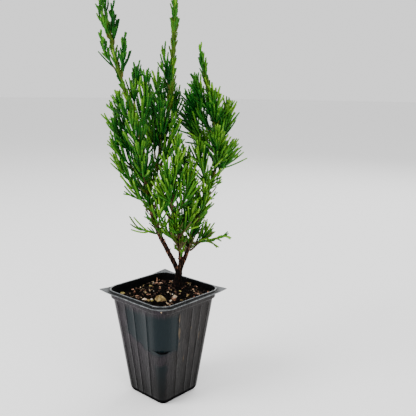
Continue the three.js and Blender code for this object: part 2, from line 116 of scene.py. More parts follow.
# Each chunk's tone, place, half sizes and turn; the last two stick to the pot at a height.
CHUNKS = [
    ("tan", 13.5, -16, (6.2, 4.6, 4.2), 0.6), ("pale", 16.5, -1.6, (2.6, 2.1, 1.9), 0.3),
    ("pink", 19.5, -4.5, (2.4, 1.6, 1.2), 1.1), ("pale", 0.2, -25, (2.6, 2, 1.5), 0.2),
    ("tan", 3.4, -22.4, (2, 1.4, 1.1), 1.9), ("olive", 6.3, -21.5, (2, 1.6, 1.2), 0.8),
    ("olive", -34, -24, (2.4, 1.8, 1.4), 0.4), ("tan", -31.6, -26.5, (2.2, 1.3, 1), 1.3),
    ("pink", -32, 21, (0.9, 1.1, 3.4), 0.2), ("pink", -29.5, 18.5, (2.3, 1.1, 0.8), 1.5),
    ("pink", -25, 18.8, (2.6, 1.2, 0.9), 0.6), ("olive", -26.2, 6.6, (2, 1.7, 1.2), 0.3),
    ("pale", 2, 4.3, (1.3, 1.1, 1), 0.5), ("tan", -1.9, 36, (2, 1.5, 1.1), 0.9),
    ("pink", 11.6, 34.5, (2.4, 1.3, 0.9), 0.4), ("pink", -13.4, -22.7, (2.1, 1.2, 1), 1.2),
    ("pink", -31.9, -11.9, (2.3, 1.3, 0.9), 0.7), ("tan", -16, -9, (2.2, 1, 0.8), 2.2),
    ("pink", -8.5, -12.5, (2.5, 1, 0.8), 0.9), ("tan", 24, 10, (2.2, 1.2, 1), 1.6),
    ("pink", 25.5, 22, (2.5, 1.3, 0.8), 2.5), ("pale", 21.4, -11, (1.8, 1.5, 1.3), 0.1),
    ("pale", 23.5, -16.5, (1.2, 1, 0.9), 0.8), ("tan", 27.5, -3, (1.9, 1.1, 0.8), 1.4),
    ("pink", -20, 30, (2.3, 1, 0.8), 0.5), ("tan", -34, 4, (1.9, 1.2, 0.9), 1.8),
    ("olive", 9, 14, (1.7, 1.2, 0.8), 2.9), ("pink", 16, 26, (2.2, 1.1, 0.7), 0.2),
    ("tan", -5, -31, (2, 1.3, 0.9), 1), ("pink", 31, 31, (2, 1, 0.8), 2),
    ("pale", 36.6, -37.4, (0.8, 0.7, 0.7), 0, 101.8), ("pale", 38.9, -13, (0.8, 0.7, 0.7), 0, 101)]

# The plant stands turned in its pot: its own +X is the way the left and right crowns spread.
# The gap is what the solids leave free between a stem and what it carries.
PLANT_TURN = math.radians(42)
FOOT_X, FOOT_Y = -4.7, 24.3
GAP = 0.3

# Every stem's route is given from the trunk's foot: right, away and up, with its two radii and
# the height at which it goes on from the trunk.
STEMS = {
    "left_stem": ([(1, 0, 12), (-3, 0, 22), (-20, -5, 60), (-29, -8, 96), (-32, -12, 133),
                   (-40, -15, 170), (-53, -14, 207), (-65, -9, 256)], (2.7, 0.85), 25),
    "front_stem": ([(1, 0, 12), (3, -1.5, 24), (2, -6, 46), (-1, -12, 66), (-4, -19, 87)],
                   (2.4, 1.1), 32),
    "right_stem": ([(1, 0, 12), (4.5, 1, 22), (10.5, 3, 38), (17, 7, 62), (29, 11, 92),
                    (39, 11, 130), (35, 8, 175), (28, 5, 203)], (2.6, 0.9), 30),
}
INNER_ROUTE, INNER_RADII = [(-22, 0, 117), (-17, 7, 142), (-8, 13, 187), (-5, 14, 240)], (1.4, 0.8)
INNER_LEAVES, INNER_HEADING = 98, 10
TRUNK_RADIUS, TRUNK_FLARE, FLARE_HEIGHT, TRUNK_LEAN = 3.6, 1.9, 4, 1 / 12
TRUNK_HEIGHTS = (-1.5, 0, 1, 2.2, 3.6, 5.4, 7.6, 10, 12.5, 15)
# Short snags on the first three stems: from and to which height, and how many.
SNAGS = ((16, 100, 30), (18, 66, 22), (16, 90, 24))

# Side branches of each stem: height on the stem, heading, reach and rise of the tip from there.
SIDE_BRANCHES = {
    "left_stem": [
        (56, 178, 22, 5), (62, 290, 18, 26), (70, 12, 17, 34), (80, 320, 20, 34),
        (84, 192, 20, 27), (92, 120, 20, 34), (98, 196, 27, 30), (106, 262, 25, 36),
        (113, 200, 30, 33), (122, 85, 30, 38), (128, 250, 26, 40), (131, 188, 30, 34),
        (146, 172, 25, 30), (152, 342, 7, 56), (160, 212, 19, 30), (178, 10, 5, 36),
        (206, 330, 5, 36), (214, 185, 16, 31), (236, 350, 1, 34), (242, 195, 9, 32),
        (256, 180, 5, 42)],
    "front_stem": [
        (46, 205, 18, 26), (54, 335, 18, 32), (62, 25, 20, 42), (68, 205, 20, 36),
        (76, 340, 18, 46), (82, 250, 16, 48), (87, 300, 10, 64)],
    "right_stem": [
        (37, 12, 20, 20), (44, 338, 40, 12), (50, 215, 18, 34), (56, 95, 22, 36),
        (64, 300, 18, 38), (84, 200, 24, 48), (98, 245, 26, 42), (112, 15, 15, 26),
        (118, 275, 26, 38), (126, 85, 26, 36), (134, 178, 30, 38), (142, 2, 9, 40),
        (152, 190, 27, 38), (162, 262, 20, 32), (174, 195, 20, 32), (203, 185, 7, 33)],
    "inner_stem": [
        (118, 335, 22, 46), (128, 175, 6, 54), (134, 95, 26, 40), (140, 275, 18, 42),
        (150, 20, 15, 42), (166, 195, 9, 42), (172, 95, 20, 36), (196, 210, 8, 38),
        (240, 10, 2, 60)],
}
STEM_SIDES, STEM_STEP, ROOM_STEPS, MOST_BALLS = 6, 10, 60, 40000
AXIS_RADII, AXIS_STEPS, AXIS_SIDES = (1.25, 0.6), 4, 3
SPRAY_EVERY, SPRAY_RADIUS, NARROWING = 3, 1.6, 0.6
SPREAD = [(45, 18), (70, 25), (105, 27), (150, 25), (215, 13)]
LEAN_FOOT, LEAN_TIP, LIFT, BOW, KNEE = 34, 18, 0.25, 0.12, 0.45
FIRST_SPRAY, LAST_SPRAY = 0.14, 0.97
GOLDEN_TURN, BALL_STEP, CLEARANCE = 2.39996, 1.5, 0.45

# The foliage's tones, first the greens from dark to bright, and the masses that its cords are
# joined into, each with its stem and its first and last plume. Then how far the tips of some
# plumes run on, and the sprigs of a mass: from and to which height on its stem, and how many.
# A leader is clothed from the height given.
TONES = ("deep", "dark", "green", "fresh", "bright", "dry", "twig", "young_twig", "olive")
GREENS, DRY, TWIG, YOUNG_TWIG, OLIVE = 5, 5, 6, 7, 8
MASSES = [("left_lower_foliage", "left_stem", 1, 6), ("left_middle_foliage", "left_stem", 7, 12),
          ("left_upper_foliage", "left_stem", 13, 21), ("front_foliage", "front_stem", 1, 7),
          ("right_lower_foliage", "right_stem", 1, 7), ("right_upper_foliage", "right_stem", 8, 16),
          ("inner_lower_foliage", "inner_stem", 1, 5), ("inner_upper_foliage", "inner_stem", 6, 9)]
SPARSE = ("left_stem_plume_1", "right_stem_plume_2")
LONG_TIPS = {"left_stem_plume_1": 1.5, "left_stem_plume_12": 1.05, "left_stem_plume_13": 1.0,
             "left_stem_plume_15": 1.0, "right_stem_plume_1": 2.0, "right_stem_plume_2": 1.2,
             "right_stem_plume_5": 1.0, "right_stem_plume_6": 2.2, "right_stem_plume_7": 1.9,
             "right_stem_plume_11": 1.5, "right_stem_plume_16": 0.82,
             "inner_stem_plume_9": 0.9}
USUAL_TIP, SHORT_TWIGS = 1.28, {"right_stem_plume_16": 0.5, "inner_stem_plume_9": 0.5}
SPRIGS = {"left_lower_foliage": (44, 100, 60), "front_foliage": (30, 80, 84),
          "right_lower_foliage": (33, 90, 90), "left_middle_foliage": (98, 150, 26),
          "inner_lower_foliage": (102, 150, 40), "right_upper_foliage": (96, 185, 60)}
LEADERS = {"left_upper_foliage": 150, "right_upper_foliage": 120, "inner_lower_foliage": 150}
ROPE_TIPS = ("inner_stem_plume_9",)
# Ramps by height: a plume's bare steps, the lift of its tips, how closely its cords stand, and
# the share of a stem's sprigs that are spent.
WOODY = [(40, 6), (90, 8), (160, 6), (240, 3)]
LIFTS = [(45, 0.12), (115, 0.36), (180, 0.45), (225, 1.0)]
CLOSENESS = {"right_stem": [(60, 0.74), (64, 1.0), (104, 1.0), (110, 1.9)],
             "front_stem": [(0, 0.68)], "left_stem": [(0, 0.6)], "inner_stem": [(0, 0.6)]}
SPENT = [(36, 0.7), (56, 0.28), (76, 0.05)]
# On the right stem the lift is weaker below one height and stronger above another. Sprays and
# twigs below a height are dry, each by its own share, and the plumes' wood is young above one.
WEAK_LIFT, STRONG_LIFT, DROOP = (160, 0.35), (200, 4), -0.75
DRY_SPRAYS, DRY_TWIGS, YOUNG_FROM = (66, 0.25), (62, 0.4), 110
FULL_TURN, ARC_STEPS = 6.28, 12
CHUNK_SEED, SNAG_SEED, PLUME_SEED, ROPE_SEED, LEADER_SEED, SPRIG_SEED = 41, 77, 500, 890, 900, 950

# The view: its turn, its tilt down and its roll, then what it aims at, right of the pot's middle
# and up, and how far away it stands.
VIEW_TURN, VIEW_DOWN, VIEW_ROLL = math.radians(42.06), math.radians(11.15), math.radians(0.67)
AIM_RIGHT, AIM_UP, VIEW_DISTANCE = 42.94, 187.57, 553.5


# Node wiring


def arithmetic(operation, swapped=False):
    """One of Value's operators, from the Math node's operation."""
    def apply(self, other):
        return self.math(operation, *((other, self) if swapped else (self, other)))
    return apply


class Value:
    """A socket that takes part in plain arithmetic; each operation adds its Math node."""

    def __init__(self, wiring, socket):
        self.wiring, self.socket = wiring, socket

    def math(self, operation, *values):
        inputs = dict(zip(("Value", "Value_001"), values))
        return self.wiring.node("ShaderNodeMath", {"operation": operation}, **inputs)

    __add__ = __radd__ = arithmetic("ADD")
    __mul__ = __rmul__ = arithmetic("MULTIPLY")
    __sub__, __rsub__ = arithmetic("SUBTRACT"), arithmetic("SUBTRACT", True)
    __truediv__, __rtruediv__ = arithmetic("DIVIDE"), arithmetic("DIVIDE", True)
    __pow__, __rpow__ = arithmetic("POWER"), arithmetic("POWER", True)
    __mod__, __rmod__ = arithmetic("MODULO"), arithmetic("MODULO", True)

    def floor(self):
        return self.math("FLOOR", self)

    def ramp(self, low, high):
        """0 below low, 1 above high, straight between."""
        return self.wiring.node("ShaderNodeMapRange", {"clamp": True}, Value=self, From_Min=low,
                                From_Max=high)

    def band(self, low, high, fall, end):
        """Rises from low to high and goes back to 0 from fall to end."""
        return self.ramp(low, high) * (1 - self.ramp(fall, end))


class Wiring:
    """Adds nodes to a shader or geometry tree."""

    def __init__(self, tree):
        self.tree = tree

    def feed(self, socket, value):
        if isinstance(value, Value):
            self.tree.links.new(value.socket, socket)
        else:
            socket.default_value = value

    def node(self, kind, settings=None, out=None, **inputs):
        """A node of a type, its settings made first, then its sockets; gives one output."""
        made = self.tree.nodes.new(kind)
        for name, value in (settings or {}).items():
            if name == "stops":
                stops = made.color_ramp.elements
                while len(stops) < len(value):
                    stops.new(1)
                for stop, (place, colour) in zip(stops, value):
                    stop.position, stop.color = place, (*colour, 1)
            else:
                setattr(made, name, value)
        for name, value in inputs.items():
            label = name.replace("_", " ")
            matches = [s for s in made.inputs if s.identifier == name]
            matches += [s for s in made.inputs if s.name == label and s.enabled]
            self.feed(matches[0], value)
        outputs = [s for s in made.outputs if s.enabled and out in (None, s.name, s.identifier)]
        return Value(self, outputs[0]) if outputs else None

    def vector(self, operation, first, **second):
        return self.node("ShaderNodeVectorMath", {"operation": operation}, Vector=first, **second)


class Finish(Wiring):
    """A material's nodes round its one Principled shader."""

    def __init__(self, name, roughness=0.6, specular=0.5):
        self.material = bpy.data.materials.new(name)
        self.material.use_nodes = True
        super().__init__(self.material.node_tree)
        self.shader = self.tree.nodes["Principled BSDF"]
        self.shader.inputs["Roughness"].default_value = roughness
        self.shader.inputs["Specular IOR Level"].default_value = specular
        self.place = self.node("ShaderNodeTexCoord", out="Object")

    def axis(self, name):
        return self.node("ShaderNodeSeparateXYZ", out=name, Vector=self.place)

    def noise(self, scale, detail=3, stretch=(1, 1, 1)):
        place = self.vector("MULTIPLY", self.place, Vector_001=stretch)
        return self.node("ShaderNodeTexNoise", out="Fac", Vector=place, Scale=scale, Detail=detail,
                         Roughness=0.55)

    def mix(self, share, first, second):
        first, second = (c if isinstance(c, Value) else (*c, 1) for c in (first, second))
        return self.node("ShaderNodeMix", {"data_type": "RGBA"}, "Result_Color",
                         Factor_Float=share, A_Color=first, B_Color=second)

    def colour(self, value):
        value = value if isinstance(value, Value) else (*value, 1)
        self.feed(self.shader.inputs["Base Color"], value)

    def rough(self, value):
        self.feed(self.shader.inputs["Roughness"], value)

    def bump(self, height, distance, strength=1):
        normal = self.node("ShaderNodeBump", out="Normal", Strength=strength, Distance=distance,
                           Height=height)
        self.feed(self.shader.inputs["Normal"], normal)


SOCKET_KINDS = {float: "NodeSocketFloat", int: "NodeSocketInt", type(None): "NodeSocketMaterial"}


def geometry_rule(name, inputs):
    """A geometry tree with named inputs and their defaults: the tree, its wiring, its inputs."""
    tree = bpy.data.node_groups.new(name, "GeometryNodeTree")
    tree.interface.new_socket("Geometry", in_out="INPUT", socket_type="NodeSocketGeometry")
    for label, default in inputs.items():
        item = tree.interface.new_socket(label, in_out="INPUT",
                                         socket_type=SOCKET_KINDS[type(default)])
        if default is not None:
            item.default_value = default
    tree.interface.new_socket("Geometry", in_out="OUTPUT", socket_type="NodeSocketGeometry")
    wiring = Wiring(tree)
    source = tree.nodes.new("NodeGroupInput")
    return tree, wiring, {s.name: Value(wiring, s) for s in source.outputs if s.name}


def settled(piece):
    """Puts a piece's evaluated mesh in place of its own and takes its modifiers off."""
    graph = bpy.context.evaluated_depsgraph_get()
    mesh = bpy.data.meshes.new_from_object(piece.evaluated_get(graph))
    piece.modifiers.clear()
    first_mesh, piece.data = piece.data, mesh
    bpy.data.meshes.remove(first_mesh)
    mesh.name = piece.name
    return mesh


def grow(piece, tree, values):
    """Runs a geometry tree on a piece and keeps its result as the piece's plain mesh."""
    modifier = piece.modifiers.new("grown", "NODES")
    modifier.node_group = tree
    for item in tree.interface.items_tree:
        if item.in_out == "INPUT" and item.name in values:
            modifier[item.identifier] = values[item.name]
    settled(piece)
    return piece


# Meshes


def add_piece(name, points, faces=(), edges=(), finishes=(), smooth=True):
    """A mesh object at the origin, from points in millimetres."""
    mesh = bpy.data.meshes.new(name)
    mesh.from_pydata([tuple(c * MM for c in p) for p in points], list(edges), list(faces))
    for finish in finishes:
        mesh.materials.append(finish)
    mesh.polygons.foreach_set("use_smooth", [smooth] * len(mesh.polygons))
    mesh.validate()
    piece = bpy.data.objects.new(name, mesh)
    bpy.context.collection.objects.link(piece)
    return piece


def finished(piece, slot, *nodes):
    """Settles a finished piece on the plant: its body and what it stands for; its slot is not used."""
    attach(piece, "root")
    if nodes:
        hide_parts(*nodes)


def joined_rings(rings):
    """Points and faces of a body through rings of equal counts, with flat ends."""
    count = len(rings[0])
    points = [p for ring in rings for p in ring]
    faces = []
    for low in range(0, len(points) - count, count):
        for k in range(count):
            beside = (k + 1) % count
            faces.append((low + k, low + beside, low + count + beside, low + count + k))
    faces.append(tuple(reversed(range(count))))
    faces.append(tuple(range(len(points) - count, len(points))))
    return points, faces


def mix_level(x, y):
    return MIX_LEVEL + MIX_TILT_X * x + MIX_TILT_Y * y


FOOT_LEVEL = mix_level(FOOT_X, FOOT_Y)
PLANT_PLACE = (Matrix.Translation((FOOT_X, FOOT_Y, FOOT_LEVEL))
               @ Matrix.Rotation(PLANT_TURN, 4, "Z"))


# The rule the plant grows by


def lerp(low, high, share):
    return low + (high - low) * share


def ramp_at(ramp, place):
    """The value at a place on a ramp of (place, value) steps, level beyond its two ends."""
    return float(np.interp(place, *zip(*ramp)))


def seeded_numbers(seed):
    """A repeatable stream of numbers from 0 to 1."""
    state = (seed * 7919 + 12345) % 2 ** 32

    def following():
        nonlocal state
        state = (state * 1664525 + 1013904223) % 2 ** 32
        return state / 2 ** 32

    following()
    following()
    return following


def heading_vector(degrees):
    return Vector((math.cos(math.radians(degrees)), math.sin(math.radians(degrees)), 0))


def ring_round(points, radii, sides):
    """Rings of points round a line, one radius each."""
    last = len(points) - 1
    aside, turns, rings = None, [2 * math.pi * side / sides for side in range(sides)], []
    for k, (centre, radius) in enumerate(zip(points, radii)):
        tangent = (points[min(k + 1, last)] - points[max(k - 1, 0)]).normalized()
        if aside is None:
            aside = Vector((1, 0, 0)) if abs(tangent.x) < 0.8 else Vector((0, 1, 0))
        across = (aside - tangent * aside.dot(tangent)).normalized()
        along = tangent.cross(across)
        rings.append([centre + (across * math.cos(a) + along * math.sin(a)) * radius
                      for a in turns])
    return rings


class Stem:
    """A stem's smooth route, its radius along it and its facets from a given start."""

    def __init__(self, name, route, radii, cut=None):
        self.name, self.radii = name, radii
        self.route = [Vector(p) for p in route]
        self.top = route[-1][2]
        self.start = 0 if cut is None else self.at(cut + GAP)
        steps = max(4, round((self.top * (1 - self.start)) / STEM_STEP))
        points, thick = self.stretch(self.start, 1, steps)
        corners, faces = joined_rings(ring_round(points, thick, STEM_SIDES))
        split = [tri for a, b, c, d in faces[:-2] for tri in ((a, b, c), (a, c, d))]
        self.facets = BVHTree.FromPolygons(corners, split)

    def point(self, share):
        route, last = self.route, len(self.route) - 1
        step = min(int(share * last), last - 1)
        t = share * last - step
        here, there = route[step], route[step + 1]
        before = route[step - 1] if step > 0 else here * 2 - there
        after = route[step + 2] if step + 2 <= last else there * 2 - here
        slope0, slope1 = (there - before) * 0.5, (after - here) * 0.5
        return (here + slope0 * t + (there * 3 - here * 3 - slope0 * 2 - slope1) * t * t
                + (here * 2 - there * 2 + slope0 + slope1) * t ** 3)

    def tangent(self, share):
        return (self.point(min(share + 1e-4, 1)) - self.point(max(share - 1e-4, 0))).normalized()

    def at(self, height):
        low, high = 0.0, 1.0
        for _ in range(40):
            middle = (low + high) / 2
            if self.point(middle).z < height:
                low = middle
            else:
                high = middle
        return (low + high) / 2

    def radius(self, share):
        return lerp(*self.radii, share)

    def stretch(self, start, end, steps):
        shares = [lerp(start, end, k / steps) for k in range(steps + 1)]
        return [self.point(s) for s in shares], [self.radius(s) for s in shares]

    def bark_at(self, height, heading):
        """The place on the bark at a height and heading, and the way out from there."""
        share = self.at(height)
        tangent = self.tangent(share)
        if height >= self.top:
            return self.point(1), tangent
        outward = heading_vector(heading)
        outward = (outward - tangent * outward.dot(tangent)).normalized()
        hit = self.facets.ray_cast(self.point(share), outward)[0]
        return hit or self.point(share) + outward * self.radius(share), outward


def foot_beside(bark, outward, toward, radius, sides):
    """Where a branch that sets off toward a point starts, just clear of the bark."""
    foot = ring_round([bark, toward], [radius, radius], sides)[0]
    back = max((bark - point).dot(outward) for point in foot)
    return bark + outward * (GAP + back)


def bent_line(start, bend, end, steps):
    """Points of a curve from start to end that heads for the bend."""
    shares = [k / steps for k in range(steps + 1)]
    return [start * (1 - t) ** 2 + bend * 2 * t * (1 - t) + end * t * t for t in shares]


def axis_of(stem, height, heading, reach, rise, steps=AXIS_STEPS):
    """The middle line of one side branch: out from its stem and then turning upward."""
    tip = stem.point(stem.at(height)) + heading_vector(heading) * reach + UP * rise
    bark, outward = stem.bark_at(height, heading)

    def bowed(start, count):
        bend = (start + tip) / 2 + heading_vector(heading) * (reach * BOW) - UP * (rise * BOW)
        return bent_line(start, bend, tip, count)

    toward = bowed(bark, AXIS_STEPS)[1]
    return bowed(foot_beside(bark, outward, toward, AXIS_RADII[0], AXIS_SIDES), steps)


class Room:
    """The room already taken, as balls along every stem and spray, each with its owner."""

    def __init__(self):
        self.balls, self.owners = np.zeros((MOST_BALLS, 4)), np.zeros(MOST_BALLS, dtype=int)
        self.count = 0

    @staticmethod
    def spaced(points, radii):
        balls = []
        for k, (here, there) in enumerate(zip(points, points[1:])):
            count = max(1, math.ceil((there - here).length / BALL_STEP))
            for share in (step / count for step in range(1, count + 1)):
                balls.append((*here.lerp(there, share), lerp(radii[k], radii[k + 1], share)))
        return np.array(balls)

    def take(self, owner, points, radii):
        balls = self.spaced(points, radii)
        end = self.count + len(balls)
        self.balls[self.count:end], self.owners[self.count:end] = balls, owner
        self.count = end

    def is_free(self, owner, points, radii):
        others = self.balls[:self.count][self.owners[:self.count] != owner]
        for ball in self.spaced(points, radii):
            apart = np.linalg.norm(others[:, :3] - ball[:3], axis=1)
            if np.any(apart <= others[:, 3] + ball[3] + CLEARANCE):
                return False
        return True


def leaving(line, share, turn, degrees):
    """How a twig leaves a line: its root, the line's own way there and the twig's way out."""
    steps, lean = len(line) - 1, math.radians(degrees)
    step = min(int(share * steps), steps - 1)
    root = line[step].lerp(line[step + 1], share * steps - step)
    tangent = (line[step + 1] - line[step]).normalized()
    across = UP.cross(tangent).normalized()
    side = tangent.cross(across) * math.sin(turn) + across * math.cos(turn)
    return root, tangent, tangent * math.cos(lean) + side * math.sin(lean)


def sprays_of(points, height, seed):
    """The sprays of one side branch: three-point lines outward from its middle, turned upward."""
    random = seeded_numbers(seed)
    count = int((points[0] - points[-1]).length / SPRAY_EVERY + 0.5) + 1
    spread = ramp_at(SPREAD, height)
    sprays = []
    for k in range(count):
        along = lerp(FIRST_SPRAY, LAST_SPRAY, (k + 0.7 * random()) / count)
        turn = k * GOLDEN_TURN + random()
        reach = spread * (1 - NARROWING * along) * lerp(0.8, 1.2, random())
        root, _, outward = leaving(points, along, turn, lerp(LEAN_FOOT, LEAN_TIP, along))
        upward = (outward + UP * LIFT).normalized()
        middle = root + outward * (reach * KNEE)
        sprays.append((along, [root, middle, middle + upward * (reach * (1 - KNEE))]))
    return sprays


@functools.cache
def plant():
    """The stems, and every plume as its name, stem, row, axis and the sprays that found room."""
    stems = [Stem(name, *given) for name, given in STEMS.items()]
    bark, outward = stems[0].bark_at(INNER_LEAVES, INNER_HEADING)
    start = foot_beside(bark, outward, Vector(INNER_ROUTE[0]), INNER_RADII[0], STEM_SIDES)
    stems.append(Stem("inner_stem", [tuple(start), *INNER_ROUTE], INNER_RADII))
    room = Room()
    for owner, stem in enumerate(stems):
        room.take(-1 - owner, *stem.stretch(0, 1, ROOM_STEPS))
    plumes = [{"name": f"{stem.name}_plume_{k}", "stem": stem, "row": row, "axis": axis_of(stem, *row)}
              for stem in stems for k, row in enumerate(SIDE_BRANCHES[stem.name], 1)]
    for owner, plume in enumerate(plumes):
        room.take(owner, plume["axis"], [AXIS_RADII[0]] * len(plume["axis"]))
    slim = [0, SPRAY_RADIUS, 0]
    for owner, plume in enumerate(plumes):
        sprays = sprays_of(plume["axis"], plume["row"][0], owner + 1)
        plume["sprays"] = [spray for spray in sprays if room.is_free(owner, spray[1], slim)]
        for _, line in plume["sprays"]:
            room.take(owner, line, slim)
    return stems, plumes


# The pot


def body_half(z):
    return lerp(FOOT_HALF, SHOULDER_HALF, z / SHOULDER)


def eased(low, high, value):
    share = min(max((value - low) / (high - low), 0), 1)
    return share * share * (3 - 2 * share)


def groove_dip(offset, z, depth):
    """How deep a groove's trough is, beside its middle and at a height, with its raised edges."""
    ends = eased(GROOVE_FROM, GROOVE_FROM + 3, z) * (1 - eased(GROOVE_TO - 2, GROOVE_TO + 1, z))
    edge = math.exp(-((abs(offset) - 0.95) / 0.3) ** 2)
    return depth * ends * (1 - eased(0.25, 0.75, abs(offset)) - 0.3 * edge)


def side_samples(half, start_corner, end_corner, z, depth, mirrored):
    """Places across one side as (across, dip), closest together over its grooves."""
    samples = [(share * half, 0) for share in (-0.5, -0.2, 0.18, 0.53)]
    for place in GROOVE_PLACES:
        samples += [((2 * place - 1) * half + offset, groove_dip(offset, z, depth))
                    for beside in (0.2, 0.45, 0.7, 0.95, 1.2, 1.5) for offset in (beside, -beside)]
    if mirrored:
        samples = [(-across, dip) for across, dip in samples]
    samples.sort()
    low_scale = min(1, (start_corner - half + 0.2) / samples[0][0])
    high_scale = min(1, (half - end_corner - 0.2) / samples[-1][0])
    return [(across * (low_scale if across < 0 else high_scale), dip) for across, dip in samples]


def pot_ring(half, plain, pocketed, z, depth=0, wobble=0.0, front=None):
    """One ring of the pot, from the front pocketed corner (+X, -Y) counter-clockwise."""
    points = []
    radii = [front or pocketed, plain, pocketed, plain]
    for side in range(4):
        start, end = radii[side], radii[(side + 1) % 4]
        flat = [(half - start + start * math.cos(a), start - half + start * math.sin(a))
                for a in (math.pi / 2 * (step / ARC_STEPS - 1) for step in range(ARC_STEPS + 1))]
        flat += [(half - dip, across) for across, dip in
                 side_samples(half, start, end, z, depth, side % 2 == 1)]
        turn = Matrix.Rotation(side * math.pi / 2, 3, "Z")
        points += [turn @ Vector((x, y, z)) for x, y in flat]
    for point in points if wobble else ():
        outward = Vector((point.x, point.y, 0)).normalized()
        point += outward * (wobble * noise.noise(Vector((point.x, point.y, point.z * 0.3)) * 0.09))
    return points


def side_corner(z):
    return lerp(FOOT_CORNER, SIDE_CORNER, z / SHOULDER)


def body_ring(z, inset=0, depth=0, wobble=0.0):
    """A ring of the body; over its pocketed corners it steps back at a ledge shaped like a U."""
    below, above = (pot_ring(body_half(z) - inset, side_corner(z), corner, z, depth, wobble)
                    for corner in (FOOT_CORNER, POCKET_CORNER))
    ring = []
    for k, (low, high) in enumerate(zip(below, above)):
        side, step = divmod(k, len(below) // 4)
        aside = abs(2 * min(step / ARC_STEPS, 1) - 1) if side % 2 == 0 else 1
        ledge = POCKET_FROM + 1.4 * max(aside - 0.4, 0) ** 2
        ring.append(low.lerp(high, eased(ledge - 0.35, ledge + 0.45, z)))
    return ring


def pot_rings(settings):
    """Every ring of the pot: up its outside, over the flange and the bead, and down inside."""
    depth, wobble = settings.groove_depth / MM, settings.wobble / MM
    rings = []
    for z, inset in FOOT_STEPS:
        corner = FOOT_CORNER - inset * 0.7
        rings.append(pot_ring(body_half(z) - inset, corner, corner, z, depth))
    heights = [5 + 2.4 * k for k in range(22)] + [56.3 + 0.25 * k for k in range(12)]
    heights += [60.6 + 2.35 * k for k in range(15)] + [94.8, 95.5, 96.2, 96.7, 97.05]
    rings += [body_ring(z, 0, depth, wobble) for z in heights]
    for z, half in COLLAR_STEPS:
        plain = lerp(COLLAR_CORNER, OPENING_CORNER, eased(103.8, 104.3, z))
        rings.append(pot_ring(half, plain, POCKET_CORNER, z, 0, wobble * (z < 103)))
    for half, z in FLANGE_STEPS:
        rings.append(pot_ring(half, TIP_CORNER, TIP_CORNER, z, front=FRONT_CORNER))
    for half, z in LIP_STEPS:
        plain = OPENING_CORNER if z > 98.5 else SIDE_CORNER
        rings.append(pot_ring(half, plain, POCKET_CORNER, z))
    for z in (75, POCKET_FROM + 6, POCKET_FROM + 3, POCKET_FROM, POCKET_FROM - 1, 30, POT_FLOOR):
        rings.append(body_ring(z, 1.1))
    return rings


def warp_flange(piece):
    """The thin flange isn't quite flat: its sides sag a little and its corner tips curl up."""
    for vertex in piece.data.vertices:
        x, y, z = vertex.co / MM
        out = max(abs(x), abs(y))
        if out > FLANGE_FROM and z > 104:
            wave = noise.noise(Vector((x, y, 0)) * 0.045)
            curl = eased(72, 89, abs(x) + abs(y)) * (2.2 if x < 0 < y else 1.1)
            vertex.co.z += MM * (0.35 * wave + curl) * (out - FLANGE_FROM) / 3


def make_pot(settings):
    rings = pot_rings(settings)
    finishes = [body_plastic(settings),
                # Rubbed edges, lightened to grey as a painted highlight on the bead and the flange's
                # edge.
                uneven_finish("rubbed_highlit_edge", 0.5, (300, 4), (0.35, 0.65), (0.02, 0.025, 0.028),
                              (0.13, 0.14, 0.145), (0.25, 0.16)),
                # Painted shade: nearly black on the foot, the pocket ledge and the inside wall.
                uneven_finish("black_painted_shade", 0.02, (500, 3), (0.4, 0.7), (0.0006, 0.0007, 0.0008),
                              (0.003, 0.003, 0.0032), (0.2, 0.7))]
    piece = add_piece("nursery_pot", *joined_rings(rings), finishes=finishes)
    count = len(rings[0])
    for face in piece.data.polygons[:-2]:
        level, place = divmod(face.index, count)
        side, step = divmod(place, count // 4)
        low, high = rings[level][place], rings[level + 1][place]
        middle = (low + high) / 2
        ring_half = rings[level][count // 8].x
        out = max(abs(middle.x), abs(middle.y))
        edge = high.z > FLANGE_LOW + 0.05 and out > FLANGE_HALF - 0.3
        underside = low.z > FLANGE_LOW and ring_half > 44.3 and high.z < FLANGE_TOP
        ledge = (side % 2 == 0 and step < ARC_STEPS and LEDGE_LOW < middle.z < LEDGE_HIGH
                 and (high - low).length > LEDGE_SLOPE * (high.z - low.z))
        inner = low.z > high.z and middle.z < INSIDE_TOP and ring_half < FLANGE_FROM + 0.2
        # The foot, the pocket ledge and the inside wall take painted shade; the bead top, the flange
        # edge and its underside take the rubbed edge with its painted highlight.
        if middle.z < FOOT_TOP or ledge or inner:
            face.material_index = PAINTED_SHADE
        elif middle.z > BEAD_TOP or edge or underside:
            face.material_index = RUBBED_HIGHLIT
    warp_flange(piece)
    cutters = []
    for side in range(4):
        turn = Matrix.Rotation(side * math.pi / 2, 3, "Z")
        place = turn @ Vector((DRAIN_PLACE * MM, DRAIN_PLACE * MM, 0))
        bpy.ops.mesh.primitive_cylinder_add(vertices=40, radius=DRAIN_RADIUS * MM, depth=8 * MM,
                                            location=place)
        cutters.append(bpy.context.object)
    for cutter in cutters:
        cut = piece.modifiers.new("drain", "BOOLEAN")
        cut.operation, cut.object, cut.solver = "DIFFERENCE", cutter, "EXACT"
    settled(piece).set_sharp_from_angle(angle=math.radians(50))
    for cutter in cutters:
        bpy.data.objects.remove(cutter)
    finished(piece, "pot", "pot")


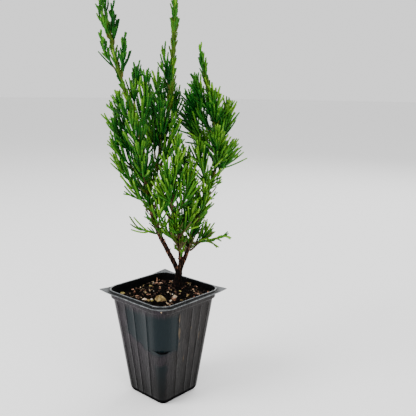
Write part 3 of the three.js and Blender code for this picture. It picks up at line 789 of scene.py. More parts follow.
def body_plastic(settings):
    """Thin plastic: a painted blue-green reflection by the front corner, wrinkled and dusty round it,
    with painted shade, reflections and highlights on its right side, foot and rim.
    """
    finish = Finish("black_plastic", specular=0.12)
    x, y, z = (finish.axis(name) for name in "XYZ")
    streaks, wrinkles = finish.noise(1400, 3, (1, 1, 0.03)), finish.noise(520, 3, (1, 1, 0.05))
    wander = finish.noise(45) * 0.022 - 0.011
    across, height = x + y + wander, z + wander
    # A painted reflection: a blue-green patch on the front corner and the pocket below it, kept glossy
    # and free of dust.
    upper = across.band(-0.055, -0.049, 0.018, 0.022) * height.band(0.052, 0.056, 0.09, 0.097)
    upper = upper * (height + across * 0.34).ramp(0.044, 0.049)
    lower = across.band(-0.02, -0.016, 0.002, 0.006) * (1 - height.ramp(0.04, 0.045))
    lower = lower * x.ramp(0.018, 0.022)
    reflection_patch = (upper + lower) * 0.92
    # The right side takes a darker, browner tone: partly an earthy tint, partly painted shade.
    right = across.ramp(0.0, 0.014)
    worn = finish.mix(right, settings.dusty, settings.earthy_shaded)
    wear = wrinkles.ramp(0.36, 0.64) * 1.1 + streaks.ramp(0.4, 0.6) * 0.5 + 0.25
    tone = finish.mix(reflection_patch, finish.vector("SCALE", worn, Scale=wear), settings.colour)
    # Painted shade: the plastic darkens toward the foot, less on the right side.
    foot = 1 - (1 - (z + wander * 0.4).ramp(0.012, 0.062)) * (0.95 - right * 0.25)
    tone = finish.vector("SCALE", tone, Scale=foot)
    # Painted reflection: the flange's corner tips are lightened to grey.
    tips = ((x * x) ** 0.5 + (y * y) ** 0.5).ramp(0.0745, 0.079)
    # Painted dark reflection: everything above the flange's underside is darkened to nearly black
    # blue-green.
    top = z.ramp(0.1042, 0.1046)
    tone = finish.mix(top * 0.85, tone, (0.0012, 0.0022, 0.0026))
    tone = finish.mix(tips * 0.85, tone, (0.085, 0.09, 0.095))
    # Painted highlight along the top of the far rim, broken up by scuffs.
    scuffs_in_highlight = finish.noise(420, 3, (0.06, 1, 1)).ramp(0.35, 0.6)
    tone = finish.mix(top * y.ramp(0.0395, 0.041) * (scuffs_in_highlight * 0.7 + 0.15), tone,
                      (0.11, 0.115, 0.12))
    dust = finish.noise(260, 5, (1, 1, 0.3)).ramp(0.6, 0.82) * 0.25 * foot
    tone = finish.mix(dust * (1 - reflection_patch), tone, (0.07, 0.066, 0.064))
    patchy = finish.noise(330, 3, (1, 1, 0.3)).ramp(0.45, 0.62) * x.ramp(0.02, 0.028)
    half = z * ((SHOULDER_HALF - FOOT_HALF) / SHOULDER) + FOOT_HALF * MM
    for place, low, high, strength in STAINS:
        beside = y - half * (2 * place - 1)
        line = 1 - (beside * beside).ramp(0.0, 2e-7)
        line = line * z.band(low, low + 0.006, high - 0.006, high)
        tone = finish.mix(line * patchy * strength, tone, (0.23, 0.15, 0.07))
    finish.colour(tone)
    finish.rough(streaks * 0.16 + wrinkles * 0.14 + dust * 0.4 - reflection_patch * 0.1 + settings.sheen)
    finish.bump(streaks * 0.45 + wrinkles * 1.5 * (1.1 - reflection_patch), 0.0003, 0.8)
    return finish.material


def uneven_finish(name, specular, noise_scale, ramp, first, second, rough):
    """A finish that wanders between two colours; its roughness varies by and starts from rough."""
    finish = Finish(name, specular=specular)
    cloud = finish.noise(*noise_scale)
    finish.colour(finish.mix(cloud.ramp(*ramp), first, second))
    finish.rough(cloud * rough[0] + rough[1])
    return finish.material


# The potting mix


def mix_height(x, y):
    """The rough top of the mix, a little lower along the wall and raised round the trunk."""
    edge = eased(33, 38.5, max(abs(x), abs(y), (abs(x) + abs(y)) * 0.8))
    lumps = noise.fractal(Vector((x, y, 4)) * 0.16, 1, 2, 3) * 1.1
    grit = noise.noise(Vector((x, y, 9)) * 1.1) * 0.35
    foot = math.exp(-((x - FOOT_X) ** 2 + (y - FOOT_Y) ** 2) / 60)
    return mix_level(x, y) - 1 - 0.8 * edge + (lumps + grit) * (1 - 0.7 * foot) + 0.9 * foot


def make_ground(settings):
    rings = [body_ring(z, 1.5) for z in (1.6, 30, 56, 57, 60, 63, 75, 95)]
    rings += [pot_ring(36, SIDE_CORNER, POCKET_CORNER, 96.9)]
    rim = pot_ring(38.45, OPENING_CORNER, POCKET_CORNER, 0)
    for level in range(MIX_RINGS):
        share = 1 - level / MIX_RINGS
        ring = [Vector((p.x * share, p.y * share, 0)) for p in rim]
        rings.append([Vector((p.x, p.y, mix_height(p.x, p.y))) for p in ring])
    finish = Finish("damp_mix", 0.85, 0.02)
    fine = finish.noise(700, 4)
    finish.colour(finish.mix(fine.ramp(0.42, 0.7), settings.mix_colour,
                             [c * 5 for c in settings.mix_colour]))
    finish.rough(finish.noise(300, 2) * 0.4 + 0.55)
    finish.bump(fine, 0.0006)
    ground = add_piece("potting_mix_bed", *joined_rings(rings), finishes=[finish.material])
    finished(ground, "potting_mix", "potting_mix")


def bit_finish(name, first, second, specular=0.15):
    """A mineral or woody finish that varies between two colours, with painted shade in its pores."""
    finish = Finish(name, 0.8, specular)
    grain = finish.noise(900)
    tone = finish.mix(finish.noise(260, 2).ramp(0.35, 0.65), first, second)
    finish.colour(finish.mix(grain.ramp(0.52, 0.4) * 0.6, tone, [c * 0.3 for c in first]))
    finish.bump(grain, 0.0003)
    return finish.material


def strewn_rule():
    """Scatters uneven bits over a surface; lengths are in metres."""
    tree, w, given = geometry_rule("Strewn bits", {
        "Density": 50000.0, "Seed": 1, "Smallest": 0.0005, "Largest": 0.0012, "Length": 1.5,
        "Thickness": 0.6, "Tilt": 0.6, "Unevenness": 0.0006, "Detail": 1, "Finish": None})
    seed, tilt = given["Seed"], given["Tilt"]
    points = w.node("GeometryNodeDistributePointsOnFaces", {"distribute_method": "RANDOM"},
                    "Points", Mesh=given["Geometry"], Density=given["Density"], Seed=seed)
    ball = w.node("GeometryNodeMeshIcoSphere", out="Mesh", Radius=1, Subdivisions=given["Detail"])
    shape = w.node("ShaderNodeCombineXYZ", X=given["Length"], Y=1.0, Z=given["Thickness"])
    bit = w.node("GeometryNodeTransform", Geometry=ball, Scale=shape)
    most = w.node("ShaderNodeCombineXYZ", X=tilt, Y=tilt, Z=FULL_TURN)
    turn = w.node("FunctionNodeRandomValue", {"data_type": "FLOAT_VECTOR"}, Min=(0, 0, 0),
                  Max=most, Seed=seed)
    size = w.node("FunctionNodeRandomValue", {"data_type": "FLOAT"}, Min_001=given["Smallest"],
                  Max_001=given["Largest"], Seed=seed + 7)
    strewn = w.node("GeometryNodeInstanceOnPoints", Points=points, Instance=bit, Rotation=turn,
                    Scale=size)
    real = w.node("GeometryNodeRealizeInstances", Geometry=strewn)
    cloud = w.node("ShaderNodeTexNoise", out="Color", Vector=w.node("GeometryNodeInputPosition"),
                   Scale=520, Detail=1)
    middle = w.vector("SUBTRACT", cloud, Vector_001=(0.5, 0.5, 0.5))
    push = w.vector("SCALE", middle, Scale=given["Unevenness"] * 4)
    uneven = w.node("GeometryNodeSetPosition", Geometry=real, Offset=push)
    flat = w.node("GeometryNodeSetShadeSmooth", Geometry=uneven, Shade_Smooth=False)
    done = w.node("GeometryNodeSetMaterial", Geometry=flat, Material=given["Finish"])
    w.node("NodeGroupOutput", Geometry=done)
    return tree


def mix_surface(name):
    """The part of the mix that bits lie on, clear of the pot's wall and the trunk."""
    places = range(-36, 37, 2)
    index = {place: k for k, place in enumerate(
        (x, y) for x in places for y in places
        if abs(x) + abs(y) < 62 and math.hypot(x - FOOT_X, y - FOOT_Y) > 5)}
    squares = [((x, y), (x + 2, y), (x + 2, y + 2), (x, y + 2)) for x, y in index]
    faces = [[index[c] for c in square] for square in squares if all(c in index for c in square)]
    return add_piece(name, [(x, y, mix_height(x, y)) for x, y in index], faces)


def make_bits(settings):
    """Fine crumbs, bark bits and perlite strewn over the mix."""
    rule = strewn_rule()
    for seed, (name, finish, first, second, specular, values) in enumerate(BITS, 3):
        given = dict(zip(("Smallest", "Largest", "Length", "Thickness", "Tilt", "Unevenness",
                          "Detail"), values[1:]))
        given.update(Density=values[0] or settings.crumbs, Seed=seed,
                     Finish=bit_finish(finish, first, second, specular))
        finished(grow(mix_surface(name), rule, given), "potting_mix")


def make_chunks():
    """The larger bark chunks and grains, each in its own place."""
    form = bmesh.new()
    bmesh.ops.create_icosphere(form, subdivisions=2, radius=1)
    ball = [v.co.copy() for v in form.verts]
    trios = [[v.index for v in face.verts] for face in form.faces]
    form.free()
    points, faces, kinds = [], [], []
    random = seeded_numbers(CHUNK_SEED)
    for number, (tone, x, y, size, turn, *stuck) in enumerate(CHUNKS):
        cuts = [(Vector((random() - 0.5, random() - 0.5, random() - 0.5)).normalized(),
                 lerp(0.5, 0.85, random())) for _ in range(9)]
        spin = Matrix.Rotation(turn, 3, "Z")
        base = Vector((x, y, stuck[0] if stuck else mix_height(x, y) + size[2] * 0.45))
        faces += [[len(points) + k for k in trio] for trio in trios]
        kinds += [list(CHUNK_TONES).index(tone)] * len(trios)
        for corner in ball:
            place = corner * (1.12 + 0.3 * noise.noise(corner * 1.3 + Vector((number * 5.1, 0, 0))))
            for normal, depth in cuts:
                place -= normal * max(place.dot(normal) - depth, 0)
            points.append(base + spin @ Vector([c * s for c, s in zip(place, size)]))
    finishes = [bit_finish(f"{tone}_chunk", *colours) for tone, colours in CHUNK_TONES.items()]
    chunks = add_piece("bark_chunks", points, faces, finishes=finishes, smooth=False)
    chunks.data.polygons.foreach_set("material_index", kinds)
    finished(chunks, "potting_mix")


# The trunk and stems


def wood_rings():
    """The rings of the trunk, the stems and a few short snags, which run into each other."""
    stems, _ = plant()
    radii = [TRUNK_RADIUS + TRUNK_FLARE * math.exp(-max(h, 0) / FLARE_HEIGHT)
             for h in TRUNK_HEIGHTS]
    radii[-1] *= 0.8
    tubes = [ring_round([Vector((TRUNK_LEAN * h, 0, h)) for h in TRUNK_HEIGHTS], radii, 28)]
    for stem in stems:
        line, thick = stem.stretch(0, 1, int(stem.top / 2.5))
        if stem.name == "inner_stem":
            line.insert(0, stem.point(0) - stem.tangent(0) * 2)
            thick.insert(0, thick[0])
        sway = [Vector((noise.noise(p * 0.09), noise.noise(p * 0.09 + UP * 50), 0)) * 0.5
                for p in line]
        tubes.append(ring_round([p + s for p, s in zip(line, sway)], thick, 14))
    random = seeded_numbers(SNAG_SEED)
    for stem, (low, high, count) in zip(stems, SNAGS):
        for _ in range(count):
            height, heading = lerp(low, high, random()), 360 * random()
            share = stem.at(height)
            root, rise = stem.point(share), lerp(0.3, 1.2, random())
            length = stem.radius(share) + lerp(0.4, 2.6, random())
            tip = root + (heading_vector(heading) + UP * rise).normalized() * length
            tubes.append(ring_round([root, root.lerp(tip, 0.6), tip], [0.8, 0.6, 0.36], 8))
    return tubes


def bark_relief(place, settings):
    """The bark's depth at a place: furrows along the stem, flakes across them and fine grain."""
    x, y, z = place
    furrows, flakes, grain = (noise.noise(Vector(stretched)) for stretched in (
        (x * 1.1, y * 1.1, z * 0.28), (x * 0.9, y * 0.9, z * 0.9 + 40),
        (x * 2.6, y * 2.6, z * 0.8)))
    return (abs(furrows) * -1.5 + 0.35 + flakes * 0.6 + grain * 0.35) * settings.relief / MM


def make_wood(settings):
    points, faces = [], []
    for rings in wood_rings():
        tube_points, tube_faces = joined_rings(rings)
        faces += [[len(points) + k for k in face] for face in tube_faces]
        points += [PLANT_PLACE @ p for p in tube_points]
    piece = add_piece("bark", points, faces, finishes=[bark_finish(settings)])
    fuse = piece.modifiers.new("fused", "REMESH")
    fuse.mode, fuse.voxel_size, fuse.use_smooth_shade = "VOXEL", settings.grain, True
    mesh = settled(piece)
    normals = [v.normal.copy() for v in mesh.vertices]
    for vertex, normal in zip(mesh.vertices, normals):
        place = vertex.co / MM
        young = eased(150, 300, place.z)
        vertex.co += normal * (bark_relief(place, settings) * lerp(1, 0.35, young) * MM)
    mesh.update()
    finished(piece, "bark", "trunk", *STEMS, "inner_stem")


def bark_finish(settings):
    """Nearly black at the foot, reddish brown above and olive on the young leaders."""
    finish = Finish("juniper_bark", 0.85, 0.04)
    height = finish.axis("Z") + (finish.noise(120, 3, (1, 1, 0.4)) * 0.05 - 0.025)
    foot, stem, young = settings.foot_colour, settings.stem_colour, settings.young_colour
    age = finish.node("ShaderNodeValToRGB", {"stops": [
        (0.0, foot), (0.15, foot), (0.24, stem), (0.42, stem), (0.55, young), (1.0, young)]},
        "Color", Fac=height.ramp(0.09, 0.31))
    flakes = finish.noise(650, 4, (1, 1, 0.3))
    peeling = flakes.ramp(0.54, 0.64) * (height.ramp(0.112, 0.15) * 0.75 + 0.05)
    pale = finish.mix(peeling, age, (0.26, 0.12, 0.07))
    # Painted shade: the low parts between the flakes are darkened to nearly black.
    finish.colour(finish.mix(flakes.ramp(0.5, 0.36) * 0.85, pale, (0.004, 0.003, 0.0026)))
    finish.bump(flakes, 0.0004)
    return finish.material


# The foliage


def cord_rule():
    """Turns lines into cords of scale leaves in crossed pairs; lengths are in metres."""
    tree, w, given = geometry_rule("Scale-leaved cords", {
        "Leaf Step": 0.001, "Leaf Relief": 0.2, "Sides": 6,
        **{f"Finish {k}": None for k in range(len(TONES))}})
    sides = given["Sides"]
    curve = w.node("GeometryNodeMeshToCurve", Mesh=given["Geometry"])
    even = w.node("GeometryNodeResampleCurve", {"mode": "LENGTH"}, Curve=curve,
                  Length=given["Leaf Step"])
    thick, tone = (w.node("GeometryNodeInputNamedAttribute", {"data_type": kind}, "Attribute",
                          Name=name) for name, kind in (("thick", "FLOAT"), ("tone", "INT")))
    sized = w.node("GeometryNodeSetCurveRadius", Curve=even, Radius=1.0)
    ring = w.node("GeometryNodeCurvePrimitiveCircle", {"mode": "RADIUS"}, "Curve",
                  Resolution=sides, Radius=1.0)
    cord = w.node("GeometryNodeCurveToMesh", Curve=sized, Profile_Curve=ring, Scale=thick,
                  Fill_Caps=True)
    number = w.node("GeometryNodeInputIndex")
    level = (number / sides + 0.01).floor()
    crossed = (level + (number - level * sides)) % 2
    normal = w.node("GeometryNodeInputNormal", out="Normal")
    push = w.vector("SCALE", normal, Scale=(crossed * 2 - 1) * given["Leaf Relief"] * thick)
    leafy = w.node("GeometryNodeSetPosition", Geometry=cord, Offset=push)
    done = w.node("GeometryNodeRealizeInstances", Geometry=leafy)
    for k in range(len(TONES)):
        same = w.node("FunctionNodeCompare", {"data_type": "INT", "operation": "EQUAL"}, "Result",
                      A_INT=tone, B_INT=k)
        done = w.node("GeometryNodeSetMaterial", Geometry=done, Selection=same,
                      Material=given[f"Finish {k}"])
    w.node("NodeGroupOutput", Geometry=done)
    return tree


class Cords:
    """Lines that cords are grown on; thickness is given by the cords' own half thickness."""

    def __init__(self, half, shade=None):
        self.half, self.shade = half, shade
        self.points, self.edges, self.thick, self.tones = [], [], [], []

    def add(self, line, thick, tone):
        """A cord along a line, of one tone."""
        first, last = len(self.points), len(line) - 1
        start, end = (self.half * share for share in thick)
        self.points += [PLANT_PLACE @ p for p in line]
        self.edges += [(first + k, first + k + 1) for k in range(last)]
        self.thick += [lerp(start, end, k / last) for k in range(last + 1)]
        self.thick[-1] *= 0.8
        self.tones += [tone] * (last + 1)

    def add_green(self, line, thick, light):
        """A cord that painted shade makes darkest deep in the crown, and that is freshest at its tip.
        """
        self.add(line, thick, 0)
        last = len(line) - 1
        self.tones[-last - 1:] = [tone_at(light + 0.2 * (k / last) ** 2 - 0.1 - self.shade(p))
                                  for k, p in enumerate(line)]

    def piece(self, name, rule, values, finishes):
        piece = add_piece(name, self.points, edges=self.edges)
        for label, kind, numbers in (("thick", "FLOAT", [t * MM for t in self.thick]),
                                     ("tone", "INT", self.tones)):
            attribute = piece.data.attributes.new(label, kind, "POINT")
            attribute.data.foreach_set("value", numbers)
        grow(piece, rule, {**values, **{f"Finish {k}": f for k, f in enumerate(finishes)}})
        drop_unused(piece.data)
        return piece


def drop_unused(mesh):
    """Takes the finishes that no face has off a mesh, and the growing lines' own values."""
    used = np.zeros(len(mesh.polygons), dtype=np.int32)
    mesh.polygons.foreach_get("material_index", used)
    kept, places = np.unique(used, return_inverse=True)
    finishes = [mesh.materials[k] for k in kept]
    mesh.materials.clear()
    for finish in finishes:
        mesh.materials.append(finish)
    mesh.polygons.foreach_set("material_index", places.astype(np.int32))
    for label in {"thick", "tone"} & set(mesh.attributes.keys()):
        mesh.attributes.remove(mesh.attributes[label])


def side_line(line, share, turn, lean, length, lift, steps=4):
    """A line that leaves another at a lean and then turns upward."""
    root, tangent, outward = leaving(line, share, turn, lean)
    upward = (outward * (1 - lift) + UP * lift + tangent * 0.25).normalized()
    bend = root + outward * (length * 0.45)
    return bent_line(root, bend, bend + upward * (length * 0.55), steps)


def beside_line(line, share, turn, lean, length, lift):
    """A line that leaves another at a lean, soon turns along it and runs on beside it."""
    root, tangent, outward = leaving(line, share, turn, lean)
    onward = (tangent + outward * (0.5 - lift) + UP * lift).normalized()
    bend = root + outward * (length * 0.3)
    return bent_line(root, bend, bend + onward * (length * 0.7), 5)


def length_of(line):
    return sum((b - a).length for a, b in zip(line, line[1:]))


def smooth_spray(line, lift, stretch):
    """A spray as a curve whose tip turns up a little more than its middle and runs on further."""
    root, middle, tip = line
    raised = ((tip - middle).normalized() + UP * lift).normalized()
    tip = middle + raised * (tip - middle).length * stretch
    return bent_line(root, middle * 2 - (root + tip) / 2, tip, 6)


def tone_at(brightness):
    return min(max(int(brightness * GREENS), 0), GREENS - 1)


def shade_in_crown():
    """The painted shade at a place in the crown: 0 outside and 0.5 behind many sprays."""
    points = [p for plume in plant()[1] for _, line in plume["sprays"] for p in line[1:]]
    tree = KDTree(len(points))
    for k, point in enumerate(points):
        tree.insert(point, k)
    tree.balance()

    def shade(place):
        outward = (Vector((place.x, place.y, 0)).normalized() + UP * 0.5).normalized()
        return min(len(tree.find_range(place + outward * 10, 13)) / 26, 1) * 0.5

    return shade


def clothe(cords, line, light, random, fullness, lift):
    """Long cords that leave one spray by turns on its two sides and run on beside it."""
    reach = (line[0] - line[-1]).length
    count = 0 if random() < 0.3 else max(1, round(reach / 11 * fullness + random() - 0.5))
    first = math.pi * (random() > 0.5)
    for k in range(count):
        share = lerp(0.02, 0.42, (k + random()) / count)
        length = reach * (1 - 0.65 * share) * lerp(0.85, 1.2, random())
        turn = first + math.pi * (k % 2) + lerp(-0.7, 0.7, random())
        cord = beside_line(line, share, turn, lerp(26, 44, random()), length, lift * 0.6)
        own = light + lerp(-0.12, 0.12, random())
        cords.add_green(cord, (0.95, 0.9), own)
        if random() < 0.12:
            short = side_line(cord, lerp(0.5, 0.75, random()), FULL_TURN * random(), 24,
                              lerp(4, 7, random()), 0.05, 3)
            cords.add_green(short, (0.9, 0.85), own)


def make_plume_cords(cords, twigs, plume, number, settings):
    """One plume: its twig out of the stem, then green, with every spray clothed in cords."""
    random = seeded_numbers(PLUME_SEED + number)
    name, stem, row = plume["name"], plume["stem"], plume["row"]
    height, sparse, axis = row[0], name in SPARSE, axis_of(stem, *row, 14)
    woody = 4 if sparse else max(3, int(ramp_at(WOODY, height)))
    twigs.add([stem.point(min(stem.at(height), 0.995)), *axis[:woody + 1]], (1.1, 0.75),
              TWIG if height < YOUNG_FROM else YOUNG_TWIG)
    cords.add(axis[woody - 1:], (1.05, 0.9), tone_at(0.5))
    fullness = settings.fullness * ramp_at(CLOSENESS[stem.name], height)
    lift = ramp_at(LIFTS, height)
    if stem.name == "right_stem":
        lift *= (WEAK_LIFT[1] if height < WEAK_LIFT[0]
                 else STRONG_LIFT[1] if height > STRONG_LIFT[0] else 1)
        lift = DROOP if sparse else lift
    for k, (along, line) in enumerate(plume["sprays"]):
        line = smooth_spray(line, lift, LONG_TIPS.get(name, USUAL_TIP))
        light = (settings.light + 0.12 * along + lerp(-0.16, 0.16, random())
                 + 0.2 * (1 - eased(60, YOUNG_FROM, height)))
        if sparse:
            if k % 2 == 0:
                cords.add(line, (1, 0.9), OLIVE if random() < 0.5 else tone_at(light))
            continue
        if line[0].z < DRY_SPRAYS[0] and random() < DRY_SPRAYS[1]:
            cords.add(line, (1.05, 0.92), DRY)
        else:
            cords.add_green(line, (1.05, 0.92), light)
        clothe(cords, line, light, random, fullness, lift)
    for _ in range(int(length_of(axis) / 7 * fullness)):
        share = lerp(0.4, 0.97, random()) if sparse else lerp(0.02, 0.7, random())
        size = lerp(13, 23, random()) * (0.4 if sparse else SHORT_TWIGS.get(name, 1))
        cord = side_line(axis, share, FULL_TURN * random(), lerp(28, 18, share), size, 0.2)
        if cord[0].z < DRY_TWIGS[0] and random() < DRY_TWIGS[1]:
            cords.add(cord, (0.9, 0.8), DRY)
        else:
            cords.add_green(cord, (0.9, 0.8), settings.light + lerp(-0.2, 0.1, random()))


def make_stem_sprigs(cords, stem, low, high, count, seed, light):
    """Short sprigs that a stem carries itself, curving up close to it; the lowest are spent."""
    random = seeded_numbers(seed)
    line = [stem.point(stem.at(lerp(low, high, k / 20))) for k in range(21)]
    for k in range(count):
        share, size = random(), lerp(7, 18, random())
        sprig = side_line(line, share, k * GOLDEN_TURN, lerp(28, 56, random()), size, 0.35)
        old = random() < ramp_at(SPENT, sprig[0].z)
        spent = OLIVE if random() < 0.65 else DRY
        own = light + lerp(-0.2, 0.1, random())
        sides = [side_line(sprig, lerp(0.2, 0.7, random()), FULL_TURN * random(), 26,
                           lerp(0.35, 0.6, random()) * size, 0.1, 3) for _ in range(2)]
        for twig in (sprig, *sides):
            if old:
                cords.add(twig, (0.7, 0.6), spent)
            else:
                cords.add_green(twig, (0.8, 0.7), own)


def make_leader_cords(cords, line, seed):
    """Short cords pressed to a leader that clothe it like a rope up to its tip."""
    random = seeded_numbers(seed)
    count = int(length_of(line) / 0.8)
    for k in range(count):
        cord = side_line(line, (k + random()) / count, k * GOLDEN_TURN, lerp(9, 27, random()),
                         lerp(7, 14, random()), 0.12)
        cords.add(cord, (1.05, 0.95),
                  OLIVE if random() < 0.42 else tone_at(0.3 + 0.65 * random()))


def make_foliage(settings):
    """The green cords of every plume, joined into pieces by stem and height, and the twigs."""
    rule, (stems, plumes), shade = cord_rule(), plant(), shade_in_crown()
    finishes = foliage_finishes(settings)
    values = {"Leaf Step": settings.leaf_step, "Leaf Relief": settings.leaf_relief}
    twigs, limbs = Cords(1), {stem.name: stem for stem in stems}
    for number, (name, stem, first, last) in enumerate(MASSES):
        cords, limb = Cords(settings.cord / MM / 2, shade), limbs[stem]
        nodes = [f"{stem}_plume_{row}" for row in range(first, last + 1)]
        for k, plume in enumerate(plumes):
            if plume["name"] in nodes:
                make_plume_cords(cords, twigs, plume, k, settings)
                if plume["name"] in ROPE_TIPS:
                    make_leader_cords(cords, plume["axis"][:-1], ROPE_SEED + number)
        if name in LEADERS:
            line, _ = limb.stretch(limb.at(LEADERS[name]), 1, 40)
            make_leader_cords(cords, line, LEADER_SEED + number)
        if name in SPRIGS:
            make_stem_sprigs(cords, limb, *SPRIGS[name], SPRIG_SEED + number, settings.light)
        finished(cords.piece(name, rule, values, finishes), "foliage", *nodes)
    wood = twigs.piece("twigs", rule, {"Leaf Step": 0.0014, "Leaf Relief": 0.1}, finishes)
    finished(wood, "bark")


def foliage_finishes(settings):
    """One base colour for each tone, a little uneven, with the soft sheen of scale leaves."""
    made = []
    for name in TONES:
        tone, finish = getattr(settings, name), Finish(f"{name}_cord", 0.5, 0.07)
        patches, grain = finish.noise(110, 2), finish.noise(900, 2)
        finish.colour(finish.mix(patches.ramp(0.3, 0.7), [c * 0.68 for c in tone],
                                 [min(c * 1.3, 1) for c in tone]))
        finish.rough(grain * 0.3 + 0.34)
        finish.bump(grain, 0.00012)
        made.append(finish.material)
    return made


# The stage


def make_stage(settings):
    bpy.ops.mesh.primitive_plane_add(size=60, location=(0, 0, -0.00005))
    floor = bpy.context.object
    floor.name = "studio_floor"
    finish = Finish("studio_paper", 0.9)
    finish.colour(settings.floor_colour)
    floor.data.materials.append(finish.material)
    world = bpy.data.worlds.new("studio")
    bpy.context.scene.world = world
    world.use_nodes = True
    surround = world.node_tree.nodes["Background"].inputs
    surround["Color"].default_value = (1, 1, 1, 1)
    surround["Strength"].default_value = settings.surround
    for name, place, size, share in (("key", (-0.55, -1.35, 1.25), 0.9, 1),
                                     ("fill", (1.5, -0.35, 0.7), 1.0, 0.45),
                                     ("back", (-0.3, 1.4, 1.3), 1.0, 0.5)):
        light = bpy.data.lights.new(name, "AREA")
        light.shape, light.size, light.energy = "SQUARE", size, settings.key_light * share
        lamp = bpy.data.objects.new(name, light)
        lamp.location = place
        facing = Vector((0, 0, 0.17)) - Vector(place)
        lamp.rotation_euler = facing.to_track_quat("-Z", "Y").to_euler()
        bpy.context.collection.objects.link(lamp)


def make_camera():
    """The camera stands to the front right of the pot, looking slightly down."""
    flat = Vector((math.cos(VIEW_TURN), math.sin(VIEW_TURN), 0))
    ahead = Vector((-math.sin(VIEW_TURN) * math.cos(VIEW_DOWN),
                    math.cos(VIEW_TURN) * math.cos(VIEW_DOWN), -math.sin(VIEW_DOWN)))
    upright = flat.cross(ahead)
    right = flat * math.cos(VIEW_ROLL) + upright * math.sin(VIEW_ROLL)
    top = upright * math.cos(VIEW_ROLL) - flat * math.sin(VIEW_ROLL)
    lens = bpy.data.cameras.new("camera")
    lens.lens, lens.sensor_width, lens.clip_start = 50, 36, 0.01
    camera = bpy.data.objects.new("camera", lens)
    place = flat * AIM_RIGHT + UP * AIM_UP - ahead * VIEW_DISTANCE
    axes = Matrix((right, top, -ahead)).transposed()
    camera.matrix_world = Matrix.Translation(place * MM) @ axes.to_4x4()
    bpy.context.collection.objects.link(camera)
    bpy.context.scene.camera = camera


# Settings, operators and the panel


def length(name, description, default):
    return FloatProperty(name=name, description=description, default=default, min=0,
                         unit="LENGTH", precision=5)


def amount(name, description, default):
    return FloatProperty(name=name, description=description, default=default, min=0)


def colour(name, description, default):
    return FloatVectorProperty(name=name, description=description, default=default,
                               subtype="COLOR", size=3, min=0, max=1)


class PotSettings(bpy.types.PropertyGroup):
    groove_depth: length("Groove depth", "Depth of the grooves down each side", 0.00055)
    wobble: length("Wobble", "How far the thin walls wander from flat", 0.00025)
    # The blue-green of the painted reflection on the front corner.
    colour: colour("Plastic", "Colour of the clean plastic", (0.0011, 0.0062, 0.0082))
    dusty: colour("Dusty plastic", "Colour of the worn plastic", (0.0125, 0.0098, 0.0125))
    # Partly an earthy tint, partly painted shade on the right side.
    earthy_shaded: colour("Earthy plastic", "Colour of its right side", (0.0092, 0.0078, 0.0076))
    sheen: amount("Sheen", "Least roughness of the plastic's skin", 0.14)


class MixSettings(bpy.types.PropertyGroup):
    crumbs: amount("Crumbs", "Fine crumbs on each square metre", 420000)
    mix_colour: colour("Mix", "Colour of the damp mix", (0.0008, 0.0006, 0.0005))


class BarkSettings(bpy.types.PropertyGroup):
    relief: length("Relief", "Depth of the bark's furrows", 0.00038)
    grain: length("Grain", "Size of the mesh that fuses the stems", 0.00036)
    foot_colour: colour("Foot", "Bark near the mix", (0.0014, 0.001, 0.0009))
    stem_colour: colour("Stems", "Bark of the stems", (0.016, 0.007, 0.0055))
    young_colour: colour("Young wood", "Bark of the leaders", (0.055, 0.062, 0.008))


class FoliageSettings(bpy.types.PropertyGroup):
    cord: length("Cord", "Thickness of a cord of scale leaves", 0.0017)
    leaf_step: length("Leaf step", "Distance from one pair of leaves to the next", 0.0011)
    leaf_relief: amount("Leaf relief", "How far the leaves stand out, by the cord's radius", 0.2)
    fullness: amount("Fullness", "How closely the cords stand", 1.0)
    light: amount("Light", "How fresh the cords are where nothing shades them", 0.65)
    # The greens are dealt out by painted shade deep in the crown as well as by age, so the darker ones
    # stand partly for shade.
    deep: colour("Deep", "Oldest, shaded cords", (0.0014, 0.034, 0.002))
    dark: colour("Dark", "Older cords", (0.0072, 0.067, 0.0048))
    green: colour("Green", "Grown cords", (0.0235, 0.115, 0.0085))
    fresh: colour("Fresh", "Young cords", (0.05, 0.156, 0.008))
    bright: colour("Bright", "Newest tips", (0.11, 0.252, 0.014))
    dry: colour("Dry", "Spent scale leaves", (0.075, 0.066, 0.024))
    twig: colour("Twigs", "Bark of the twigs", (0.045, 0.026, 0.012))
    young_twig: colour("Young twigs", "Bark of the young twigs", (0.06, 0.065, 0.01))
    olive: colour("Olive", "Cords pressed to the leaders", (0.05, 0.1, 0.009))


class StageSettings(bpy.types.PropertyGroup):
    floor_colour: colour("Floor", "Colour of the studio floor", (0.9, 0.9, 0.9))
    surround: amount("Surround", "Brightness of the light all round", 1.25)
    key_light: amount("Key light", "Power of the main light in watts", 34)


class JUNIPER_OT_pot(bpy.types.Operator):
    """Shapes the square nursery pot"""
    bl_idname = "juniper.pot"
    bl_label = "Nursery pot"

    def execute(self, context):
        make_pot(context.scene.juniper_pot)
        return {"FINISHED"}


class JUNIPER_OT_mix(bpy.types.Operator):
    """Fills the pot with its bark mix and strews bits over it"""
    bl_idname = "juniper.mix"
    bl_label = "Potting mix"

    def execute(self, context):
        make_ground(context.scene.juniper_mix)
        make_bits(context.scene.juniper_mix)
        make_chunks()
        return {"FINISHED"}


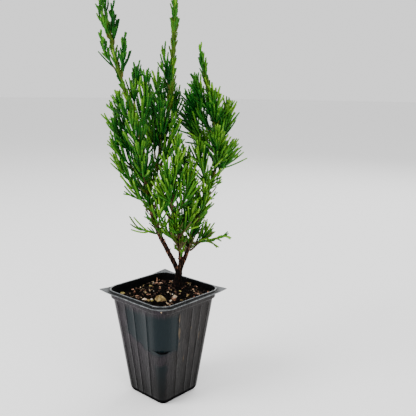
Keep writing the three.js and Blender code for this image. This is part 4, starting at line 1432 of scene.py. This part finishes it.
class JUNIPER_OT_wood(bpy.types.Operator):
    """Grows the trunk and its stems with their bark"""
    bl_idname = "juniper.wood"
    bl_label = "Trunk and stems"

    def execute(self, context):
        make_wood(context.scene.juniper_bark)
        return {"FINISHED"}


class JUNIPER_OT_foliage(bpy.types.Operator):
    """Grows the twigs and the cords of scale leaves"""
    bl_idname = "juniper.foliage"
    bl_label = "Foliage"

    def execute(self, context):
        make_foliage(context.scene.juniper_foliage)
        return {"FINISHED"}


class JUNIPER_OT_stage(bpy.types.Operator):
    """Sets the floor, the lights and the camera"""
    bl_idname = "juniper.stage"
    bl_label = "Stage"

    def execute(self, context):
        make_stage(context.scene.juniper_stage)
        make_camera()
        return {"FINISHED"}


SETTINGS = {"juniper_pot": PotSettings, "juniper_mix": MixSettings, "juniper_bark": BarkSettings,
            "juniper_foliage": FoliageSettings, "juniper_stage": StageSettings}
OPERATORS = (JUNIPER_OT_pot, JUNIPER_OT_mix, JUNIPER_OT_wood, JUNIPER_OT_foliage,
             JUNIPER_OT_stage)


class JUNIPER_PT_panel(bpy.types.Panel):
    """Lists the pieces of the potted juniper and their settings"""
    bl_label = "Potted juniper"
    bl_space_type = "VIEW_3D"
    bl_region_type = "UI"
    bl_category = "Juniper"

    def draw(self, context):
        for operator, (name, group) in zip(OPERATORS, SETTINGS.items()):
            box = self.layout.box()
            box.operator(operator.bl_idname)
            for setting in group.__annotations__:
                box.prop(getattr(context.scene, name), setting)


def register():
    for made in (*SETTINGS.values(), *OPERATORS, JUNIPER_PT_panel):
        bpy.utils.register_class(made)
    for name, group in SETTINGS.items():
        setattr(bpy.types.Scene, name, PointerProperty(type=group))


def unregister():
    for name in SETTINGS:
        delattr(bpy.types.Scene, name)
    for made in (JUNIPER_PT_panel, *reversed(OPERATORS), *reversed(SETTINGS.values())):
        bpy.utils.unregister_class(made)


def main():
    register()
    for operator in OPERATORS:
        group, name = operator.bl_idname.split(".")
        getattr(getattr(bpy.ops, group), name)()


if __name__ == "__main__":
    main()
